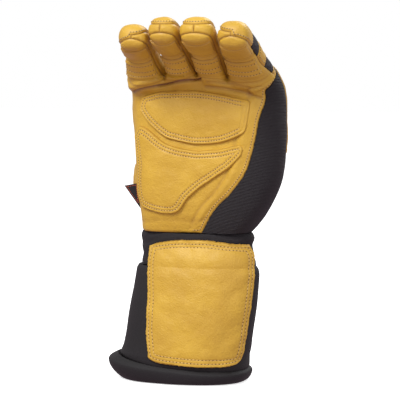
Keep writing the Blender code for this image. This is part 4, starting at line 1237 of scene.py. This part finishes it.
def build_cuff():
    """The narrow wrist, the wide cuff and the rolled hem that the cuff runs down into."""
    wrist, cuff = smooth_rows(wrist_rows()), smooth_rows(cuff_rows())
    ends = wrist[0][0], wrist[-1][0]
    grid = []
    for z in np.linspace(ends[0], ends[1], 40):
        share = (z - ends[1]) / (ends[0] - ends[1])
        pinch = 0.25 * math.sin(share * 5 * math.pi)
        grid.append(ring_at(wrist, z, ANGLES, 0.25 - pinch))
    grid = cloth_noise(np.array(grid), 0.09, 0.7, 3.0)
    sleeve("wrist_stretch_soft", grid, [BAND_WALL - 0.4] * 40, KNIT, ["wrist_band"])

    grid = []
    low = hem_top(ANGLES) - 1.8
    top = cuff[0][0]
    steps = np.linspace(0, 1, 90)
    for t in steps:
        z = top + (low - top) * t
        pinch = 0.9 * math.exp(-(t / 0.02) ** 2) + 1.5 * math.exp(-((1 - t) / 0.022) ** 2)
        grid.append(ring_at(cuff, np.maximum(z, cuff[-1][0]), ANGLES, pinch))
        grid[-1][:, 2] = z
    grid = cloth_noise(np.array(grid), 0.035, 1.1, 8.0)
    sleeve("cuff_soft", grid, [CUFF_WALL - 0.5] * 90, CUFF_CLOTH, ["cuff"])

    cx, a, cy, b = section_at(cuff, HEM_LEFT_TOP + HEM_SHIFT)
    left = 0.5 - 0.5 * np.cos(ANGLES)
    side = np.abs(np.cos(ANGLES)) ** 1.5
    full = mix(HEM_FRONT_SWELL, mix(HEM_RIGHT_SWELL, HEM_LEFT_SWELL, left), side)
    shape = np.array(smooth_rows([(s, h) for s, h in HEM[::-1]]))
    grid, walls = [], []
    for share, swell in shape:
        out = HEM_SWELL * np.where(swell > 0, swell * full, swell)
        z = (hem_top(ANGLES) - 0.1) * np.clip(share, 0, 1)
        grid.append(rounded_ring(cx - HEM_SHIFT, a + out, cy, b + out, z, ANGLES))
        walls.append(max(HEM_WALL * (1 - 0.35 * dip(share, 0.15)) - 0.4, 1.5))
    grid = cloth_noise(np.array(grid), 0.06, 0.7, 5.0)
    grid[:, :, 2] = np.maximum(grid[:, :, 2], 0.0)
    hem = sleeve("hem_soft", grid, walls, CUFF_CLOTH, ["hem"])


def build_patch():
    """Leather patch over wrist band and cuff on the palm side, with roughly cut edges."""
    nu, nv = 110, 110
    cuff, wrist = smooth_rows(cuff_rows()), smooth_rows(wrist_rows())
    g = np.zeros((nv + 1, nu + 1, 3))
    across, up = rounded(nu, nv, *PATCH_CORNERS)
    even = np.linspace(0, 1, nu + 1)
    edge = softened(lookup(PATCH_TOP, even), 30)
    for j in range(nv + 1):
        u, v = across[j], up[j]
        foot = PATCH_LEFT[0][1] + (PATCH_RIGHT[0][1] - PATCH_LEFT[0][1]) * u
        bottom = hem_top(np.radians(foot)) + CUFF_HEIGHT * lookup(PATCH_LOW, u)
        top = CUFF_HEIGHT * np.interp(u, even, edge)
        ang = np.radians((1 - u) * lookup(PATCH_LEFT, v) + u * lookup(PATCH_RIGHT, v))
        z = bottom + (top - bottom) * v
        low = ring_at(cuff, np.minimum(z, cuff[0][0]), ang)
        over = ring_at(wrist, np.maximum(z, wrist[-1][0]), ang)
        blend = np.clip((z - cuff[0][0]) / (PATCH_BLEND * CUFF_HEIGHT), 0, 1)
        blend = (blend * blend * (3 - 2 * blend))[:, None]
        g[j] = low * (1 - blend) + over * blend
        g[j][:, 2] = z
    n = np.cross(np.gradient(g, axis=1), np.gradient(g, axis=0))
    n /= np.linalg.norm(n, axis=2)[:, :, None]
    flat, flat_n = g.reshape(-1, 3), n.reshape(-1, 3)
    info = np.hstack([flat, np.zeros((len(flat), 5))])
    soft, fine = waves(flat, 0.05, (4, 4, 1)), waves(flat, 0.16, (1, 2, 8))
    piece = Piece(info, flat_n, grid_faces(nv, nu), 0.9 * np.abs(soft) + 0.35 * fine,
                  np.clip(-fine * 0.3 - 0.1, 0, 0.06))
    push = 0.45 * waves(flat, 0.8) * dip(piece.far, 1.6)
    piece.pts[:, 0] += push
    piece.pts[:, 2] += push * 0.8
    pad_shape(piece, LAY_GAP + 0.55 + LEATHER, PATCH_ROWS)
    for far in PATCH_ROWS:
        piece.row(patch_rows, piece.far - far)
    piece.build("cuff_patch_soft", 0.0, GOLD, ["cuff_patch"], under=LAY_GAP - 0.1)


def build_tag(tree):
    """The small folded tag, left bare but for the thread along its edge."""
    low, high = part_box("size_tag")
    y = (low.y + high.y) / 2 / MM
    edge = []
    for share in TAG_EDGE:
        x, _y, z = on_hand(-1.0, TAG_Y, share)
        hit = tree.ray_cast(Vector((x, y, z)), Vector((1, 0, 0)))[0]
        edge.append(np.array((hit.x - 0.1, y, z)))
    tip = np.array((edge[0][0] - TAG_REACH, y, on_hand(0, 0, TAG_CORNER)[2]))
    n = 14
    pts, faces, index = [], [], {}
    for i in range(n + 1):
        for j in range(n + 1 - i):
            a, b = i / n, j / n
            index[(i, j)] = len(pts)
            pts.append(tip * a + edge[0] * b + edge[1] * (1 - a - b))
    for i in range(n):
        for j in range(n - i):
            faces.append((index[(i, j)], index[(i + 1, j)], index[(i, j + 1)]))
            if i + j < n - 1:
                faces.append((index[(i + 1, j)], index[(i + 1, j + 1)], index[(i, j + 1)]))
    pts = np.hstack([np.array(pts), np.zeros((len(pts), 5))])
    normals = np.tile((0.0, -1.0, 0.0), (len(pts), 1))
    piece = Piece(pts, normals, faces)
    piece.lift += 0.5 - 0.3 * dip(piece.far, 0.4)
    a, b, c = (pts[v, :3] for v in faces[0])
    if np.cross(b - a, c - a)[1] > 0:
        piece.faces = [f[::-1] for f in piece.faces]
        piece.rim = [(b, a) for a, b in piece.rim]
    piece.row(tag_rows, piece.far - TAG_ROW)
    piece.build("size_tag_soft", 0.0, KNIT, ["size_tag"], under=-0.5)


# Stitches


def stitch_tree(name, hole):
    """Geometry nodes: rounded stitches, or the dots between them that carry the painted shade of the
    needle holes, along every row.
    """
    tree = bpy.data.node_groups.new(name, "GeometryNodeTree")
    face = tree.interface
    face.new_socket("Rows", in_out="INPUT", socket_type="NodeSocketGeometry")
    for key, value in (("Pitch", 0.00185), ("Length", 0.0014), ("Width", 0.0006), ("Height", 0.0004)):
        face.new_socket(key, in_out="INPUT", socket_type="NodeSocketFloat").default_value = value
    face.new_socket("Thread", in_out="INPUT", socket_type="NodeSocketMaterial")
    face.new_socket("Stitches", in_out="OUTPUT", socket_type="NodeSocketGeometry")

    def node(kind, sockets=None, **settings):
        made = tree.nodes.new(kind)
        for key, value in settings.items():
            setattr(made, key, value)
        for key, value in (sockets or {}).items():
            if isinstance(value, bpy.types.NodeSocket):
                tree.links.new(value, made.inputs[key])
            else:
                made.inputs[key].default_value = value
        return made

    given = node("NodeGroupInput").outputs
    line = node("GeometryNodeMeshToCurve", {"Mesh": given["Rows"]})
    even = node("GeometryNodeResampleCurve", {"Curve": line.outputs[0], "Length": given["Pitch"]},
                mode="LENGTH")
    tangent = node("GeometryNodeInputTangent")
    lay = node("GeometryNodeInputNamedAttribute", {"Name": "lay"}, data_type="FLOAT_VECTOR")
    first = node("FunctionNodeAlignRotationToVector", {"Vector": tangent.outputs[0]}, axis="X")
    turn = node("FunctionNodeAlignRotationToVector",
                {"Rotation": first.outputs[0], "Vector": lay.outputs[0]}, axis="Z", pivot_axis="X")
    ball = node("GeometryNodeMeshUVSphere", {"Segments": 8, "Rings": 5, "Radius": 0.5})
    size = node("ShaderNodeCombineXYZ", {0: given["Length"], 1: given["Width"], 2: given["Height"]})
    shift = 0.0
    if hole:
        half = node("ShaderNodeMath", {0: given["Pitch"], 1: 0.5}, operation="MULTIPLY")
        shift = half.outputs[0]
    move = node("ShaderNodeCombineXYZ", {0: shift})
    shaped = node("GeometryNodeTransform", {
        "Geometry": ball.outputs[0], "Translation": move.outputs[0], "Scale": size.outputs[0]})
    set_on = node("GeometryNodeInstanceOnPoints", {
        "Points": even.outputs[0], "Instance": shaped.outputs[0], "Rotation": turn.outputs[0]})
    real = node("GeometryNodeRealizeInstances", {"Geometry": set_on.outputs[0]})
    smooth = node("GeometryNodeSetShadeSmooth", {"Geometry": real.outputs[0]})
    done = node("GeometryNodeSetMaterial", {"Geometry": smooth.outputs[0], "Material": given["Thread"]})
    node("NodeGroupOutput", {"Stitches": done.outputs[0]})
    return tree


STITCH = stitch_tree("stitch_along_rows", False)
PRICK = stitch_tree("hole_along_rows", True)


def sew(name, rows, tree, sizes, paint):
    """Sews one kind of stitch along the rows and leaves a plain mesh."""
    pts, normals, edges = rows
    mesh = bpy.data.meshes.new(name)
    mesh.from_pydata([tuple(np.array(p) * MM) for p in pts], edges, [])
    lay = mesh.attributes.new("lay", "FLOAT_VECTOR", "POINT")
    lay.data.foreach_set("vector", np.array(normals, np.float32).ravel())
    guide = bpy.data.objects.new(name + "_rows", mesh)
    bpy.context.scene.collection.objects.link(guide)
    mod = guide.modifiers.new("sew", "NODES")
    mod.node_group = tree
    keys = {s.name: s.identifier for s in tree.interface.items_tree if s.in_out == "INPUT"}
    for key, value in sizes.items():
        mod[keys[key]] = value
    mod[keys["Thread"]] = paint
    bpy.context.view_layer.update()
    made = bpy.data.meshes.new_from_object(guide.evaluated_get(bpy.context.evaluated_depsgraph_get()))
    guide.modifiers.clear()
    bpy.data.objects.remove(guide)
    made.name = name
    if not made.materials:
        made.materials.append(paint)
    obj = bpy.data.objects.new(name, made)
    bpy.context.scene.collection.objects.link(obj)
    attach(obj, "root")
    return obj


def build_stitches():
    """Threads along every row, and dark dots of painted shade for the needle holes between them on the
    leather.
    """
    for name, rows, pitch, size, paint, slot in (
            ("pad_stitches", pad_rows, 1.85, 1.0, THREAD, "leather"),
            ("patch_stitches", patch_rows, 2.35, 1.1, THREAD, "leather"),
            ("tag_stitches", tag_rows, 1.3, 0.7, TAG_THREAD, "stretch_fabric")):
        sizes = {"Pitch": pitch * MM, "Length": pitch * 0.72 * MM, "Width": 0.55 * size * MM,
                 "Height": 0.5 * size * MM}
        sew(name, rows, STITCH, sizes, paint)
        if rows is not tag_rows:
            # Dark dots of painted shade for the needle holes between the stitches
            sizes = {"Pitch": pitch * MM, "Length": 0.75 * MM, "Width": 0.75 * MM, "Height": 0.35 * MM}
            sew(name.replace("stitches", "stitch_holes"), rows, PRICK, sizes, HOLE_SHADE_PAINT)


# Studio


# Camera, matched to the photograph: angles in degrees, distance, target and the size of one
# pixel at the target in millimetres
CAMERA_AZIMUTH, CAMERA_ELEVATION = 18.0, 5.0
CAMERA_FAR = 1300.0
CAMERA_TARGET = (8.8, 2.9, 118.5)
PIXEL, IMAGE_PIXELS = 0.66, 400
# Lamps: name, place in metres, size, power
LAMPS = (("key", (-0.3, -1.0, 1.1), 0.5, 16.0),
         ("fill", (0.9, -0.9, 0.5), 0.8, 3.0),
         ("back", (0.3, 0.9, 1.0), 0.6, 8.0))


def build_studio():
    """Camera, pale floor and soft light."""
    cam = bpy.data.objects.new("camera", bpy.data.cameras.new("camera"))
    cam.data.sensor_width = 36.0
    cam.data.lens = 36.0 * CAMERA_FAR / (IMAGE_PIXELS * PIXEL)
    az, el, far = math.radians(CAMERA_AZIMUTH), math.radians(CAMERA_ELEVATION), CAMERA_FAR * MM
    target = Vector(CAMERA_TARGET) * MM
    back = Vector((math.sin(az) * math.cos(el), -math.cos(az) * math.cos(el), math.sin(el)))
    cam.location = target + back * far
    cam.rotation_euler = (-back).to_track_quat("-Z", "Y").to_euler()
    bpy.context.scene.collection.objects.link(cam)
    bpy.context.scene.camera = cam

    floor = bpy.data.meshes.new("floor")
    corners_at = [(x, y, -0.0004) for x, y in ((-4, -4), (4, -4), (4, 4), (-4, 4))]
    floor.from_pydata(corners_at, [], [(0, 1, 2, 3)])
    paint = Paint("pale_floor", rough=0.9)
    paint.shader.inputs["Base Color"].default_value = (0.93, 0.93, 0.93, 1)
    paint.shader.inputs["Emission Color"].default_value = (1, 1, 1, 1)
    paint.shader.inputs["Emission Strength"].default_value = 0.72
    floor.materials.append(paint.mat)
    obj = bpy.data.objects.new("floor", floor)
    bpy.context.scene.collection.objects.link(obj)
    obj.visible_diffuse = obj.visible_glossy = False

    world = bpy.data.worlds.new("studio")
    bpy.context.scene.world = world
    world.use_nodes = True
    tree = world.node_tree
    plain = tree.nodes["Background"]
    plain.inputs[1].default_value = 0.6
    way = tree.nodes.new("ShaderNodeTexCoord")
    height = tree.nodes.new("ShaderNodeSeparateXYZ")
    fade = tree.nodes.new("ShaderNodeMapRange")
    fade.inputs["From Min"].default_value = -0.8
    fade.inputs["From Max"].default_value = 0.6
    tint = tree.nodes.new("ShaderNodeMix")
    tint.data_type = "RGBA"
    tint.inputs[6].default_value = (0.86, 0.58, 0.72, 1)
    tint.inputs[7].default_value = (1, 1, 1, 1)
    tree.links.new(way.outputs["Generated"], height.inputs[0])
    tree.links.new(height.outputs["Z"], fade.inputs["Value"])
    tree.links.new(fade.outputs[0], tint.inputs[0])
    tree.links.new(tint.outputs[2], plain.inputs[0])
    bright = tree.nodes.new("ShaderNodeBackground")
    bright.inputs[0].default_value = (1, 1, 1, 1)
    seen = tree.nodes.new("ShaderNodeLightPath")
    both = tree.nodes.new("ShaderNodeMixShader")
    tree.links.new(seen.outputs["Is Camera Ray"], both.inputs[0])
    tree.links.new(plain.outputs[0], both.inputs[1])
    tree.links.new(bright.outputs[0], both.inputs[2])
    tree.links.new(both.outputs[0], tree.nodes["World Output"].inputs[0])
    for name, place, size, power in LAMPS:
        light = bpy.data.lights.new(name, "AREA")
        light.size = size
        light.energy = power
        lamp = bpy.data.objects.new(name, light)
        lamp.location = place
        lamp.rotation_euler = (target - Vector(place)).to_track_quat("-Z", "Y").to_euler()
        bpy.context.scene.collection.objects.link(lamp)
    bpy.context.scene.view_settings.view_transform = "Standard"


LEVEL = 4
build_studio()
build_hand(LEVEL)
build_finger_pads(LEVEL)
skin, skin_faces = smoothed_hand(3)[:2]
skin_tree = BVHTree.FromPolygons([Vector(v[:3]) for v in skin], skin_faces)
build_palm_pad("upper_palm_pad", UPPER_PAD, skin_tree, 130, 70, UPPER_ROWS, UPPER_ROWS_END)
build_palm_pad("heel_pad", HEEL_PAD, skin_tree, 130, 100, HEEL_ROWS, HEEL_ROWS_END)
build_cuff()
build_patch()
build_tag(skin_tree)
build_stitches()
